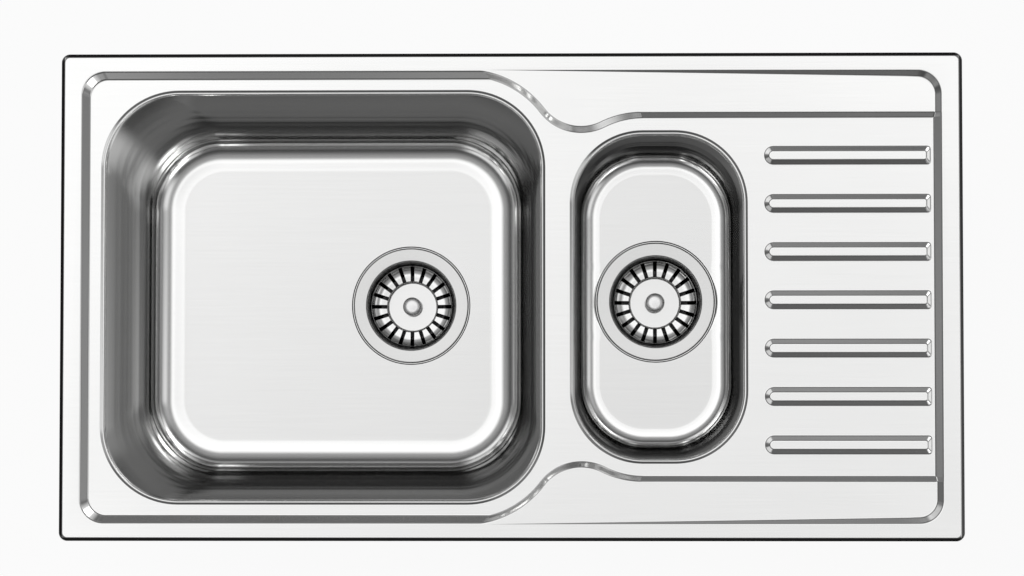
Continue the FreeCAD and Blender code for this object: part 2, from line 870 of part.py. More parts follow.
def build_bowl(bowl, waste_x):
    body = new_body(bowl.name)
    under = bowl.floor - dim.sheet
    outer_top = bowl.level(body, bowl.name + "_outer_top", dim.collar_depth, dim.sheet, collar_level)
    outer_floor = bowl.level(body, bowl.name + "_outer_floor", bowl.depth + dim.sheet, dim.sheet, under)
    loft(body, bowl.name + "_block", "Additive", outer_top, outer_floor)
    inner_top = bowl.level(body, bowl.name + "_inner_top", dim.collar_depth, ZERO, collar_level)
    inner_floor = bowl.level(body, bowl.name + "_inner_floor", bowl.depth, ZERO, bowl.floor)
    hollow = loft(body, bowl.name + "_hollow", "Subtractive", inner_top, inner_floor)
    loop = level_loop(hollow.Shape, bowl.floor.value, bowl.around())
    inner_round = fillet(body, bowl.name + "_inner_round", hollow, loop, bowl.floor_radius)
    loop = level_loop(inner_round.Shape, under.value, bowl.around())
    fillet(body, bowl.name + "_outer_round", inner_round, loop, bowl.floor_radius + dim.sheet)

    # the sunk seat for the strainer flange, then the waste hole through it
    seat_under = new_sketch(body, bowl.name + "_seat_under", "XZ_Plane")
    rim = seat_r + dim.seat_run + dim.wall_allowance
    polygon(
        seat_under,
        [
            (ZERO, bowl.floor - dim.sheet / 2),
            (rim, bowl.floor - dim.sheet / 2),
            (rim, under),
            (seat_r + dim.wall_allowance, under - seat_depth),
            (ZERO, under - seat_depth),
        ],
    )
    seat_under.setExpression("AttachmentOffset.Base.x", waste_x.text)
    turn(body, bowl.name + "_seat_ground", seat_under)
    seat_cut = new_sketch(body, bowl.name + "_seat_cut", "XZ_Plane")
    polygon(
        seat_cut,
        [
            (ZERO, bowl.floor + dim.overrun),
            (seat_r + dim.seat_run, bowl.floor + dim.overrun),
            (seat_r + dim.seat_run, bowl.floor),
            (seat_r, bowl.floor - seat_depth),
            (hole_r, bowl.floor - seat_depth),
            (hole_r, under - seat_depth - dim.overrun),
            (ZERO, under - seat_depth - dim.overrun),
        ],
    )
    seat_cut.setExpression("AttachmentOffset.Base.x", waste_x.text)
    turn(body, bowl.name + "_seat", seat_cut, "Groove")
    return body


main_bowl = build_bowl(main, main_waste_x)
half_bowl = build_bowl(half, half_centre)

# Basket strainer wastes, each drawn from the top face of its flange

cup_r = dim.cup_diameter / 2
flange_r = dim.flange_diameter / 2
cup_floor_r = dim.cup_floor_diameter / 2
bolt_r = dim.bolt_diameter / 2
bolt_hole_r = bolt_r + dim.hole_clearance
flange_under = -dim.cup_sheet
floor_top = flange_under - dim.gasket_thickness
floor_under = floor_top - dim.sheet
body_top = floor_under - dim.under_gasket_thickness
body_bottom = body_top - dim.body_depth
body_flange_r = dim.body_bore / 2 + dim.body_flange_width
shoulder_r = dim.outlet_diameter / 2 + dim.outlet_shoulder
outlet_bore_r = dim.outlet_bore / 2
boss_top = -(dim.cup_depth + dim.cup_sheet + dim.boss_drop)
insert_top = body_bottom + dim.insert_recess + dim.insert_length
stopper_bottom = dim.stopper_gap - dim.cup_depth
stopper_top = stopper_bottom + dim.stopper_height
web_under = stopper_top - dim.stopper_web
basket_floor_top = stopper_top + dim.basket_sheet
basket_top = basket_floor_top + dim.basket_height
shank_r = dim.shank_diameter / 2
shank_hole_r = shank_r + dim.shank_clearance
pin_r = dim.pin_diameter / 2


def turned(label, points):
    """A body turned from a closed profile of (radius, height) points."""
    body = new_body(label)
    sketch = polygon(new_sketch(body, label + "_profile", "XZ_Plane"), points)
    turn(body, label + "_turning", sketch)
    return body


def ring(label, inner, outer, low, high):
    return turned(label, [(inner, low), (outer, low), (outer, high), (inner, high)])


def circle_sketch(body, name, x, radius, height):
    sketch = new_sketch(body, name, height=height)
    edge = sketch.addGeometry(Part.Circle(Vector(x.value, 0, 0), Vector(0, 0, 1), radius.value), False)
    bind(sketch, "Radius", edge, size=radius)
    pin_point(sketch, edge, 3, x, ZERO)
    return sketch


def box_sketch(body, name, left, right, half_width, height):
    points = [(left, -half_width), (right, -half_width), (right, half_width), (left, half_width)]
    return polygon(new_sketch(body, name, height=height), points)


def build_cup(label):
    body = turned(
        label,
        [
            (bolt_hole_r, -dim.cup_depth),
            (cup_floor_r, -dim.cup_depth),
            (cup_r, -dim.cup_straight),
            (cup_r, ZERO),
            (flange_r, ZERO),
            (flange_r, flange_under),
            (cup_r + dim.cup_sheet, flange_under),
            (cup_r + dim.cup_sheet, -dim.cup_straight),
            (cup_floor_r + dim.cup_sheet, -dim.cup_depth - dim.cup_sheet),
            (bolt_hole_r, -dim.cup_depth - dim.cup_sheet),
        ],
    )
    neck = ring_edges(body.Tip.Shape, cup_r + dim.cup_sheet, flange_under)
    fillet(body, label + "_neck", body.Tip, neck, dim.mouth_radius - dim.cup_sheet)
    mouth = ring_edges(body.Tip.Shape, cup_r, ZERO)
    fillet(body, label + "_mouth", body.Tip, mouth, dim.mouth_radius)
    hole = circle_sketch(
        body,
        label + "_drain_circle",
        dim.drain_circle / 2,
        dim.drain_hole / 2,
        dim.overrun - dim.cup_depth,
    )
    drain = cut(body, label + "_drain_hole", hole, dim.cup_sheet + 2 * dim.overrun)
    repeat_round(body, label + "_drain_holes", drain, dim.drain_count)
    return body


def build_waste_body(label):
    bore_r = dim.body_bore / 2
    wall_r = bore_r + dim.body_wall
    body = turned(
        label,
        [
            (body_flange_r, body_top),
            (body_flange_r, body_top - dim.body_flange_thickness),
            (wall_r, body_top - dim.body_flange_thickness),
            (wall_r, body_top - dim.body_straight),
            (shoulder_r, body_bottom),
            (outlet_bore_r, body_bottom),
            (bore_r, body_top - dim.body_straight),
            (bore_r, body_top),
        ],
    )
    low = body_bottom + dim.insert_recess
    arm = box_sketch(body, label + "_arm_outline", ZERO, dim.spider_reach, dim.spider_width / 2, low)
    arm = pad(body, label + "_arm", arm, dim.spider_height)
    repeat_round(body, label + "_arms", arm, dim.spider_count)
    boss = circle_sketch(body, label + "_boss_circle", ZERO, dim.boss_diameter / 2, body_bottom)
    pad(body, label + "_boss", boss, boss_top - body_bottom)
    pocket_r = dim.insert_diameter / 2 + dim.thread_clearance
    pocket = polygon(
        new_sketch(body, label + "_insert_profile", "XZ_Plane"),
        [
            (ZERO, body_bottom - dim.overrun),
            (pocket_r, body_bottom - dim.overrun),
            (pocket_r, insert_top),
            (bolt_hole_r, insert_top),
            (bolt_hole_r, boss_top + dim.overrun),
            (ZERO, boss_top + dim.overrun),
        ],
    )
    turn(body, label + "_insert_pocket", pocket, "Groove")
    return body


def build_outlet(label):
    """The tail under the waste body that the nut of a trap screws on to."""
    outlet_r = dim.outlet_diameter / 2
    shoulder_low = body_bottom - dim.outlet_shoulder_height
    outlet_low = shoulder_low - dim.outlet_length
    return turned(
        label,
        [
            (outlet_bore_r, body_bottom),
            (shoulder_r, body_bottom),
            (shoulder_r, shoulder_low),
            (outlet_r, shoulder_low),
            (outlet_r, outlet_low),
            (outlet_bore_r, outlet_low),
        ],
    )


def build_bolt(label):
    seat = -dim.cup_depth
    head_r = dim.bolt_head / 2
    bore_r = pin_r + dim.pin_clearance
    head_top = seat + dim.bolt_head_height
    return turned(
        label,
        [
            (ZERO, seat - dim.bolt_length),
            (bolt_r, seat - dim.bolt_length),
            (bolt_r, seat),
            (head_r, seat),
            (head_r, head_top),
            (bore_r, head_top),
            (bore_r, head_top - dim.bolt_bore_depth),
            (ZERO, head_top - dim.bolt_bore_depth),
        ],
    )


def build_basket(label):
    rim_r = dim.basket_rim / 2
    rim_inner = rim_r - dim.basket_rim_width
    floor_r = dim.basket_floor / 2
    slope = (rim_inner - floor_r) / dim.basket_height
    body = turned(
        label,
        [
            (shank_hole_r, basket_floor_top),
            (floor_r, basket_floor_top),
            (rim_inner, basket_top),
            (rim_r, basket_top),
            (rim_r, basket_top - dim.basket_rim_roll),
            (rim_inner - dim.basket_rim_roll * slope + dim.basket_wall, basket_top - dim.basket_rim_roll),
            (floor_r - dim.basket_sheet * slope + dim.basket_wall, stopper_top),
            (shank_hole_r, stopper_top),
        ],
    )
    high = basket_top + dim.overrun
    slot = box_sketch(
        body,
        label + "_slot_outline",
        dim.slot_inner / 2,
        dim.slot_outer / 2,
        dim.slot_width / 2,
        high,
    )
    slot = cut(body, label + "_slot", slot, high - stopper_top + dim.overrun)
    repeat_round(body, label + "_slots", slot, dim.slot_count)
    return body


def build_knob(label):
    collar_top = basket_floor_top + dim.knob_collar_height
    head_low = collar_top + dim.knob_neck_height
    head_top = head_low + dim.knob_height
    head_r = dim.knob_diameter / 2
    body = turned(
        label,
        [
            (ZERO, web_under - dim.pin_length),
            (pin_r, web_under - dim.pin_length),
            (pin_r, web_under),
            (shank_r, web_under),
            (shank_r, basket_floor_top),
            (dim.knob_collar / 2, basket_floor_top),
            (dim.knob_collar / 2, collar_top),
            (dim.knob_neck / 2, collar_top),
            (dim.knob_neck / 2, head_low),
            (head_r, head_low),
            (head_r, head_top),
            (ZERO, head_top),
        ],
    )
    fillet(body, label + "_crown", body.Tip, ring_edges(body.Tip.Shape, head_r, head_top), dim.knob_round)
    low_ring = ring_edges(body.Tip.Shape, head_r, head_low)
    fillet(body, label + "_under", body.Tip, low_ring, dim.knob_under_round)
    return body


def build_stopper(label):
    return turned(
        label,
        [
            (shank_hole_r, stopper_top),
            (dim.stopper_diameter / 2, stopper_top),
            (dim.stopper_diameter / 2, stopper_bottom),
            (dim.stopper_pocket / 2, stopper_bottom),
            (dim.stopper_pocket / 2, web_under),
            (shank_hole_r, web_under),
        ],
    )


def build_waste(stem, x, floor):
    under_r = hole_r + dim.gasket_margin
    low_insert = body_bottom + dim.insert_recess
    pieces = [
        build_cup(stem + "_strainer_cup"),
        ring(stem + "_flange_gasket", under_r, flange_r - dim.gasket_margin, floor_top, flange_under),
        ring(stem + "_under_gasket", under_r, under_r + dim.under_gasket_width, body_top, floor_under),
        build_waste_body(stem + "_waste_body"),
        build_outlet(stem + "_waste_outlet"),
        ring(stem + "_bolt_insert", bolt_r + dim.thread_clearance, dim.insert_diameter / 2, low_insert, insert_top),
        build_bolt(stem + "_centre_bolt"),
        build_basket(stem + "_basket"),
        build_knob(stem + "_basket_knob"),
        build_stopper(stem + "_stopper_seal"),
        ring(
            stem + "_stopper_clip",
            pin_r + dim.shank_clearance,
            dim.clip_ring / 2,
            web_under - dim.clip_thickness,
            web_under,
        ),
    ]
    for piece in pieces:
        stand_at(piece, x, ZERO, floor + dim.flange_proud)
    return pieces


wastes = build_waste("main", main_waste_x, main.floor) + build_waste("half", half_centre, half.floor)

# Seal, brackets and clips under the rim

rim_under = dim.rim_height - dim.sheet
half_length = dim.overall_length / 2
half_width = dim.overall_width / 2
seal_inset = dim.sheet + dim.seal_gap

rim_seal = new_body("rim_seal")
outer = rounded_box(
    new_sketch(rim_seal, "seal_outline"),
    ZERO,
    ZERO,
    half_length - seal_inset,
    half_width - seal_inset,
    dim.seal_corner,
)
pad(rim_seal, "seal_strip", outer, rim_under)
inner = rounded_box(
    new_sketch(rim_seal, "seal_opening_outline"),
    ZERO,
    ZERO,
    half_length - seal_inset - dim.seal_width,
    half_width - seal_inset - dim.seal_width,
    dim.seal_inner_corner,
)
cut(rim_seal, "seal_opening", inner, rim_under, up=True)

bracket_in = dim.bracket_setback + dim.bracket_sheet
bracket_low = rim_under - dim.bracket_drop
bracket_profile = [
    (dim.bracket_setback, rim_under),
    (bracket_in + dim.bracket_wing, rim_under),
    (bracket_in + dim.bracket_wing, rim_under - dim.bracket_sheet),
    (bracket_in, rim_under - dim.bracket_sheet),
    (bracket_in, bracket_low),
    (dim.bracket_setback, bracket_low),
]
clip_profile = [
    (bracket_in + dim.clip_sheet, bracket_low + dim.clip_hook),
    (bracket_in, bracket_low + dim.clip_hook),
    (bracket_in, bracket_low),
    (dim.bracket_setback, bracket_low),
    (dim.bracket_setback - dim.clip_reach + dim.clip_sheet, bracket_low + dim.clip_rise),
    (dim.bracket_setback - dim.clip_reach, bracket_low + dim.clip_rise),
    (dim.bracket_setback - dim.clip_sheet, bracket_low - dim.clip_sheet),
    (bracket_in + dim.clip_sheet, bracket_low - dim.clip_sheet),
]


def edge_rows(label, profile, length):
    """One profile repeated along all four edges, its widths counted inward from the edge."""
    body = new_body(label)
    long_row = dim.overall_length - 2 * dim.long_side_end_gap
    short_row = dim.overall_width - 2 * dim.short_side_end_gap
    rows = (
        ("front", "YZ_Plane", "X_Axis", -1, half_width, dim.long_side_clips, long_row, False),
        ("back", "YZ_Plane", "X_Axis", 1, half_width, dim.long_side_clips, long_row, False),
        ("left", "XZ_Plane", "Y_Axis", -1, half_length, dim.short_side_clips, short_row, True),
        ("right", "XZ_Plane", "Y_Axis", 1, half_length, dim.short_side_clips, short_row, True),
    )
    for side, plane, along, sign, edge, count, reach, backward in rows:
        stem = f"{label}_{side}"
        points = [(edge - inward if sign > 0 else inward - edge, height) for inward, height in profile]
        start = -(reach / 2 + length / 2)
        sketch = polygon(new_sketch(body, stem + "_profile", plane, height=start), points)
        first = pad(body, stem + "_first", sketch, length)
        row = body.newObject("PartDesign::LinearPattern", stem + "_row")
        row.Originals = [first]
        axis = [item for item in body.Origin.OriginFeatures if item.Role == along][0]
        row.Direction = (axis, [""])
        row.Reversed = backward
        row.setExpression("Length", reach.text)
        row.setExpression("Occurrences", count.text)
        body.Tip = row
        doc.recompute()
    return body


clip_brackets = edge_rows("clip_brackets", bracket_profile, dim.bracket_length)
spring_clips = edge_rows("spring_clips", clip_profile, dim.clip_length)

# Sound pads glued under the bowl floors

main_pad_left = main_left + dim.main_pad_end_gap
main_pad_right = main_waste_x - body_flange_r - dim.main_pad_waste_gap
main_sound_pad = new_body("main_sound_pad")
sketch = rounded_box(
    new_sketch(main_sound_pad, "main_pad_outline", height=main.floor - dim.sheet),
    (main_pad_left + main_pad_right) / 2,
    ZERO,
    (main_pad_right - main_pad_left) / 2,
    main_y - dim.main_pad_side_gap,
    dim.pad_corner,
)
pad(main_sound_pad, "main_pad", sketch, dim.pad_thickness, down=True)

half_pad_near = body_flange_r + dim.half_pad_waste_gap
half_pad_far = half_y * (1 - dim.half_pad_end_share)
half_pad_place = (half_pad_near + half_pad_far) / 2
half_sound_pads = new_body("half_sound_pads")
for side, place in (("front", -half_pad_place), ("back", half_pad_place)):
    sketch = rounded_box(
        new_sketch(half_sound_pads, f"half_pad_{side}_outline", height=half.floor - dim.sheet),
        half_centre,
        place,
        dim.half_pad_length / 2,
        (half_pad_far - half_pad_near) / 2,
        dim.pad_corner,
    )
    pad(half_sound_pads, f"half_pad_{side}", sketch, dim.pad_thickness, down=True)

# Check every object, then write each piece

doc.recompute()
pieces = [deck, main_bowl, half_bowl, rim_seal, clip_brackets, spring_clips, main_sound_pad, half_sound_pads]
pieces += wastes
for item in doc.Objects:
    if "Invalid" in item.State or "Error" in item.State:
        raise RuntimeError(f"{item.Label} did not build")
os.makedirs("parts", exist_ok=True)
for piece in pieces:
    if piece.Shape.isNull() or not piece.Shape.isValid() or not piece.Shape.Solids:
        raise RuntimeError(f"{piece.Label} has no valid solid")
    piece.Shape.exportStep(f"parts/{piece.Label}.step")
    print(piece.Label, len(piece.Shape.Solids), round(piece.Shape.Volume))
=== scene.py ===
# %% [markdown]
# # A pressed steel sink with a drainer
# The sink is one thin sheet of stainless steel: a rolled rim, a sunk well, two drawn bowls and a ribbed
# drainer, with a basket strainer in each bowl. Polished sheet shows its form only through what it
# mirrors, so the lesson is about clean surfaces with true radii, and about the room they mirror. The
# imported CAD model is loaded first. It fixes every place and size, and the pieces made here are laid over
# it in the same metres.

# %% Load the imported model
import json
import math

import bmesh
import bpy
import numpy as np
from mathutils import Matrix, Vector
from mathutils.geometry import tessellate_polygon


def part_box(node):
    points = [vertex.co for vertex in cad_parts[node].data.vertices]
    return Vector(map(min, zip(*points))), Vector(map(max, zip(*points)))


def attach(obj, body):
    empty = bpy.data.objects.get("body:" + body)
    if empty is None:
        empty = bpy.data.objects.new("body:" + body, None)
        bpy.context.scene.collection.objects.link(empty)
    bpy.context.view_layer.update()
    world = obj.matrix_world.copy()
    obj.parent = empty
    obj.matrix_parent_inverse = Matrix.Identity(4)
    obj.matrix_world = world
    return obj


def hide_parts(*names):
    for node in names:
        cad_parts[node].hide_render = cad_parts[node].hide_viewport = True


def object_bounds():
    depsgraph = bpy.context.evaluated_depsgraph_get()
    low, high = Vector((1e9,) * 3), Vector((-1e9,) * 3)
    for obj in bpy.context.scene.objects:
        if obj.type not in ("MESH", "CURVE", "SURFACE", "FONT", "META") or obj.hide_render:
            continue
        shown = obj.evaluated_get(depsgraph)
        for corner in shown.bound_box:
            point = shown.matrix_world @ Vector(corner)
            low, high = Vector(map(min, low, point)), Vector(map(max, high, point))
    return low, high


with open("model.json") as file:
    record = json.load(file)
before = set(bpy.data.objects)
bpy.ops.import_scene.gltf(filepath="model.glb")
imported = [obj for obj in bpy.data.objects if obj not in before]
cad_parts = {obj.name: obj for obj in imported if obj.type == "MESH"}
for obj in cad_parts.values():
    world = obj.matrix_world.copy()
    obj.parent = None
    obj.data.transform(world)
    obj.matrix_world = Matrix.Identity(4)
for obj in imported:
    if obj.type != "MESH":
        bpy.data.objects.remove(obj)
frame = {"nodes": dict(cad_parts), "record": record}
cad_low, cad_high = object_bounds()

MM = 0.001
scene = bpy.context.scene
print("CAD box", [round(v / MM, 1) for v in (*cad_low, *cad_high)])

# %% [markdown]
# ## A skin made of strips
# Sheet metal could be cut with booleans or moulded with subdivision, but both leave ripples that a
# mirror finish shows at once. Here each sheet is built as a draughtsman would lay it out: outlines of
# lines and arcs, strips of quads between matching outlines, and flat fills between them. Neighbours
# share their outlines, so a weld closes every seam, and a solidify modifier gives the gauge.

# %% Skin
WELD = 0.002 * MM
SHARP = math.radians(38)


class Skin:
    """Collects the faces of one sheet and makes one welded mesh of them."""

    def __init__(self):
        self.points = []
        self.faces = []

    def add(self, row):
        first = len(self.points)
        self.points.extend(tuple(map(float, point)) for point in row)
        return range(first, len(self.points))

    def strip(self, rows, closed=True, skip=()):
        """Quads between neighbouring rows; skip holds (row, column) places that stay open."""
        numbers = [self.add(row) for row in rows]
        count = len(numbers[0])
        for line, (low, high) in enumerate(zip(numbers, numbers[1:])):
            for i in range(count if closed else count - 1):
                j = (i + 1) % count
                if (line, i) not in skip:
                    self.faces.append((low[i], low[j], high[j], high[i]))

    def fill(self, outline, *holes):
        """Triangles between an outline and the holes in it."""
        loops = [[Vector(point) for point in loop] for loop in (outline, *holes)]
        numbers = [number for loop in loops for number in self.add(loop)]
        for triangle in tessellate_polygon(loops):
            self.faces.append(tuple(numbers[i] for i in triangle))

    def make(self, name, body, *nodes, gauge=None):
        """The mesh as an object that rides on a body and stands for CAD nodes."""
        mesh = bpy.data.meshes.new(name)
        mesh.from_pydata(self.points, [], self.faces)
        built = bmesh.new()
        built.from_mesh(mesh)
        bmesh.ops.remove_doubles(built, verts=built.verts, dist=WELD)
        bmesh.ops.dissolve_degenerate(built, edges=built.edges, dist=WELD)
        bmesh.ops.recalc_face_normals(built, faces=built.faces)
        largest = max(built.faces, key=lambda face: face.calc_area())
        if gauge and largest.normal.z < 0:
            bmesh.ops.reverse_faces(built, faces=built.faces)
        for face in built.faces:
            face.smooth = True
        for edge in built.edges:
            if len(edge.link_faces) != 2 or edge.calc_face_angle() > SHARP:
                edge.smooth = False
        built.to_mesh(mesh)
        built.free()
        piece = bpy.data.objects.new(name, mesh)
        scene.collection.objects.link(piece)
        if gauge:
            shell = piece.modifiers.new("gauge", "SOLIDIFY")
            shell.thickness = gauge
            shell.offset = -1
            shell.use_even_offset = True
            shell.use_quality_normals = True
            shell.material_offset = 1
        facing = piece.modifiers.new("facing", "WEIGHTED_NORMAL")
        facing.keep_sharp = True
        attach(piece, body)
        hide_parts(*nodes)
        print(name, len(mesh.vertices), "points", len(mesh.polygons), "faces")
        return piece


print("seams weld within", round(WELD / MM, 4), "mm")

# %% [markdown]
# ## Outlines
# Pressings are drawn with lines and tangent arcs. Blender's curves could draw them too, but the points
# of two curves don't pair up. Here every outline is a row of points, and two outlines of one family have
# the same number of them, so that a strip can join them. An eased wall starts and ends flat, which gives
# the small press radii along every step.

# %% Outlines and walls
CORNER_STEPS = 24
RING_STEPS = 96


def arc(centre, radius, start, end, steps):
    """Points on an arc, in plan, with its angles in degrees."""
    turn = np.radians(np.linspace(start, end, steps + 1))
    return np.column_stack((centre[0] + radius * np.cos(turn), centre[1] + radius * np.sin(turn)))


def lift(path, height):
    """Points in plan raised to one height, or each to its own."""
    return np.column_stack((path, np.broadcast_to(height, len(path))))


def rounded(centre_x, half_x, half_y, radius, height, steps=CORNER_STEPS):
    """A rectangle with round corners, as a closed row of points."""
    corners = []
    for quarter, (sx, sy) in enumerate(((1, 1), (-1, 1), (-1, -1), (1, -1))):
        middle = (centre_x + sx * (half_x - radius), sy * (half_y - radius))
        corners.append(arc(middle, radius, 90 * quarter, 90 * quarter + 90, steps))
    return lift(np.vstack(corners), height)


def circle(centre_x, radius, height, steps=RING_STEPS):
    turn = np.arange(steps) * 2 * math.pi / steps
    plan = np.column_stack((centre_x + radius * np.cos(turn), radius * np.sin(turn)))
    return lift(plan, height)


def front(path):
    """The same path on the front side, walked the other way."""
    return path[::-1] * np.array((1, -1, 1)[: path.shape[1]])


EASE = 0.25
EASE_STEPS = 4
ease_shares = np.linspace(0, EASE, EASE_STEPS + 1)
WALL_SHARES = np.concatenate((ease_shares, 1 - ease_shares[::-1]))


def eased(share):
    """The rise of a wall that leaves its foot and meets its top without a crease."""
    span = 2 * EASE * (1 - EASE)
    if share < EASE:
        return share ** 2 / span
    if share > 1 - EASE:
        return 1 - (1 - share) ** 2 / span
    return (share - EASE / 2) / (1 - EASE)


def wall(foot, top):
    """Rows of a pressed wall from its foot to its top."""
    rows = []
    for share in WALL_SHARES:
        row = foot + share * (top - foot)
        row[:, 2] = foot[:, 2] + eased(share) * (top[:, 2] - foot[:, 2])
        rows.append(row)
    return rows


print(len(WALL_SHARES), "rows in a pressed wall")

# %% [markdown]
# ## Sizes of the deck
# The deck is the pressed top that carries everything. Its outlines could be read off the CAD mesh point
# by point, but then nothing could be reasoned about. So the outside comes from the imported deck, and the
# rest are its press sizes: margins, runs and radii, from which every outline below is worked out.

# %% Deck sizes
half_length, half_width, rim_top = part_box("sink_deck")[1]
GAUGE = 0.8 * MM
OUTER_CORNER = 8 * MM
RIM_END, RIM_SIDE, STEP_RUN = 18.8 * MM, 16 * MM, 9 * MM
STEP_CORNER, WELL_CORNER, WELL_DEPTH = 23 * MM, 17 * MM, 6.5 * MM
MAIN_LENGTH, MAIN_END_GAP, MAIN_SIDE_GAP, MAIN_CORNER = 426 * MM, 9.5 * MM, 9 * MM, 75 * MM
HALF_LENGTH, BOWL_GAP, HALF_SIDE_GAP, HALF_CORNER = 170.4 * MM, 22.8 * MM, 48 * MM, 70 * MM
WAVE_CREST, WAVE_DIP, WAVE_SHOULDER = 12 * MM, 50 * MM, 10.7 * MM
LEDGE_OFFSET, LEDGE_FALL, LEDGE_RUN = 16.7 * MM, 4 * MM, 1.9

rim_x, rim_y = half_length - RIM_END, half_width - RIM_SIDE
well_x, well_y = rim_x - STEP_RUN, rim_y - STEP_RUN
deck_top = rim_top - WELL_DEPTH
main_right = MAIN_END_GAP - well_x + MAIN_LENGTH
half_left = main_right + BOWL_GAP
half_right = half_left + HALF_LENGTH
main_y, half_y = well_y - MAIN_SIDE_GAP, well_y - HALF_SIDE_GAP
crest = np.array((main_right - MAIN_CORNER, main_y - MAIN_CORNER))
shoulder = np.array((half_left + HALF_CORNER, half_y - HALF_CORNER))
print("well", round(well_x / MM, 1), round(well_y / MM, 1), "bowl gap from", round(main_right / MM, 1))

# %% [markdown]
# ## The step and the wave
# Inside the rim a step falls to the well. Behind and in front of the drainer the step swings inward as a
# wave and leaves two ledges, which fall gently to the right. A hand-drawn curve could follow it, but
# would wobble in the reflections. A closed form draws the wave at the foot and at the top of its wall
# instead: two arcs round the bowls' corners and a third that touches both.

# %% The wave
WAVE_STEPS = 28


def bearing(start, end):
    """The direction from one point in plan to another, in degrees."""
    return math.degrees(math.atan2(end[1] - start[1], end[0] - start[0]))


def well_path(half_x, side_y, corner, crest_r, dip_r, shoulder_r, end_y):
    """Half of the well's outline, from the drainer's end along the wave and round the left corner."""
    near, far = crest_r + dip_r, shoulder_r + dip_r
    reach = shoulder - crest
    gap = np.hypot(*reach)
    along = (near ** 2 - far ** 2 + gap ** 2) / (2 * gap)
    across = math.sqrt(near ** 2 - along ** 2)
    unit = reach / gap
    dip = crest + along * unit + across * np.array((-unit[1], unit[0]))
    start = math.degrees(math.asin((side_y - crest[1]) / crest_r))
    first, second = bearing(crest, dip), bearing(shoulder, dip)
    end = np.array((half_x, end_y))
    touch = math.degrees(math.acos(shoulder_r / np.hypot(*(end - shoulder))))
    last = bearing(shoulder, end) + touch
    return np.vstack((
        [end],
        arc(shoulder, shoulder_r, last, second, WAVE_STEPS),
        arc(dip, dip_r, second + 180, first + 180, WAVE_STEPS)[1:],
        arc(crest, crest_r, first, start, WAVE_STEPS)[1:],
        arc((corner - half_x, side_y - corner), corner, 90, 180, CORNER_STEPS),
    ))


KINK = 3 * WAVE_STEPS + 1
crest_r, shoulder_r = MAIN_CORNER + WAVE_CREST, HALF_CORNER + WAVE_SHOULDER
RUN_CREST, RUN_DIP, RUN_SHOULDER, RUN_END = 6.8 * MM, 7.2 * MM, 8.2 * MM, 17 * MM
end_y = shoulder[1] + shoulder_r
foot_plan = well_path(well_x, well_y, WELL_CORNER, crest_r, WAVE_DIP, shoulder_r, end_y)
top_plan = well_path(
    rim_x,
    rim_y,
    STEP_CORNER,
    crest_r + RUN_CREST,
    WAVE_DIP - RUN_DIP,
    shoulder_r + RUN_SHOULDER,
    end_y + RUN_END,
)
ledge_start = crest[0] + LEDGE_OFFSET
ledge_slope = LEDGE_FALL / (rim_x - ledge_start)


def ledge_height(x):
    return rim_top - ledge_slope * np.maximum(0, x - ledge_start)


well_foot = lift(foot_plan, deck_top)
full_top = lift(top_plan, rim_top)
ledge_drop = ledge_slope * np.maximum(0, well_foot[:, 0] - ledge_start)
ledge_lean = ledge_slope * (full_top[:, 0] - well_foot[:, 0])
wall_share = np.minimum(1, (WELL_DEPTH - ledge_drop) / (WELL_DEPTH + ledge_lean))
wall_share[KINK:] = 1
wave_top = well_foot + wall_share[:, None] * (full_top - well_foot)
ledge_end_x = rim_x - LEDGE_FALL * LEDGE_RUN
wave_top[0] = (ledge_end_x, wave_top[0][1], ledge_height(ledge_end_x))
wave_rows = wall(well_foot, wave_top)
ledge_end_drop = float(rim_top - wave_top[0][2])
print("wave of", len(well_foot), "columns, ledge falls", round(ledge_end_drop / MM, 2), "mm")

# %% [markdown]
# ## Ledges and the drainer's end
# Each ledge starts level with the rim and sinks on its way to the right, so a low wall grows out of
# nothing along the rim and turns the corner to close the drainer's end. A bevelled loop cut could not
# taper like that. The wall's foot is worked out from the ledge's height at each place, and one strip
# runs from ledge to ledge.

# %% Ledge walls and the drainer's end wall
LEDGE_STEPS = 40
ledge_corner_y = rim_y - (rim_top - ledge_height(ledge_end_x)) * LEDGE_RUN
corner_foot = arc(
    (ledge_end_x - WELL_CORNER, ledge_corner_y - WELL_CORNER), WELL_CORNER, 90, 0, CORNER_STEPS
)
corner_top = arc((rim_x - STEP_CORNER, rim_y - STEP_CORNER), STEP_CORNER, 90, 0, CORNER_STEPS)
run_x = np.linspace(ledge_start, corner_foot[0][0], LEDGE_STEPS + 1)[:-1]
run_y = rim_y - LEDGE_RUN * (rim_top - ledge_height(run_x))
ledge_plan = np.vstack((np.column_stack((run_x, run_y)), corner_foot))
ledge_foot = lift(ledge_plan, ledge_height(ledge_plan[:, 0]))
run_top_x = np.linspace(ledge_start, corner_top[0][0], LEDGE_STEPS + 1)[:-1]
run_top = np.column_stack((run_top_x, np.full(LEDGE_STEPS, rim_y)))
wave_end = np.array([row[0] for row in wave_rows])[::-1]
end_foot = np.vstack((ledge_foot, wave_end))
end_top = np.vstack((
    lift(np.vstack((run_top, corner_top)), rim_top),
    lift(np.column_stack((np.full(len(wave_end), rim_x), wave_end[:, 1])), rim_top),
))

deck = Skin()
deck.strip([np.vstack((row, front(row))) for row in wave_rows], closed=False)
end_rows = [np.vstack((row, front(row))) for row in wall(end_foot, end_top)]
deck.strip(end_rows, closed=False)
ledge = np.vstack((wave_top[KINK : KINK + 1], ledge_foot, wave_top[:KINK]))
deck.fill(ledge)
deck.fill(front(ledge))
print("ledge walls of", len(end_foot), "columns")

# %% [markdown]
# ## The rolled rim
# The outer edge of the sheet is rolled down to the worktop. A bevel modifier could round it, but real
# rolled edges are flatter on top than at the side. So the edge follows a profile of insets and drops, in
# millimetres, and the rim is a flat fill from there to the step.

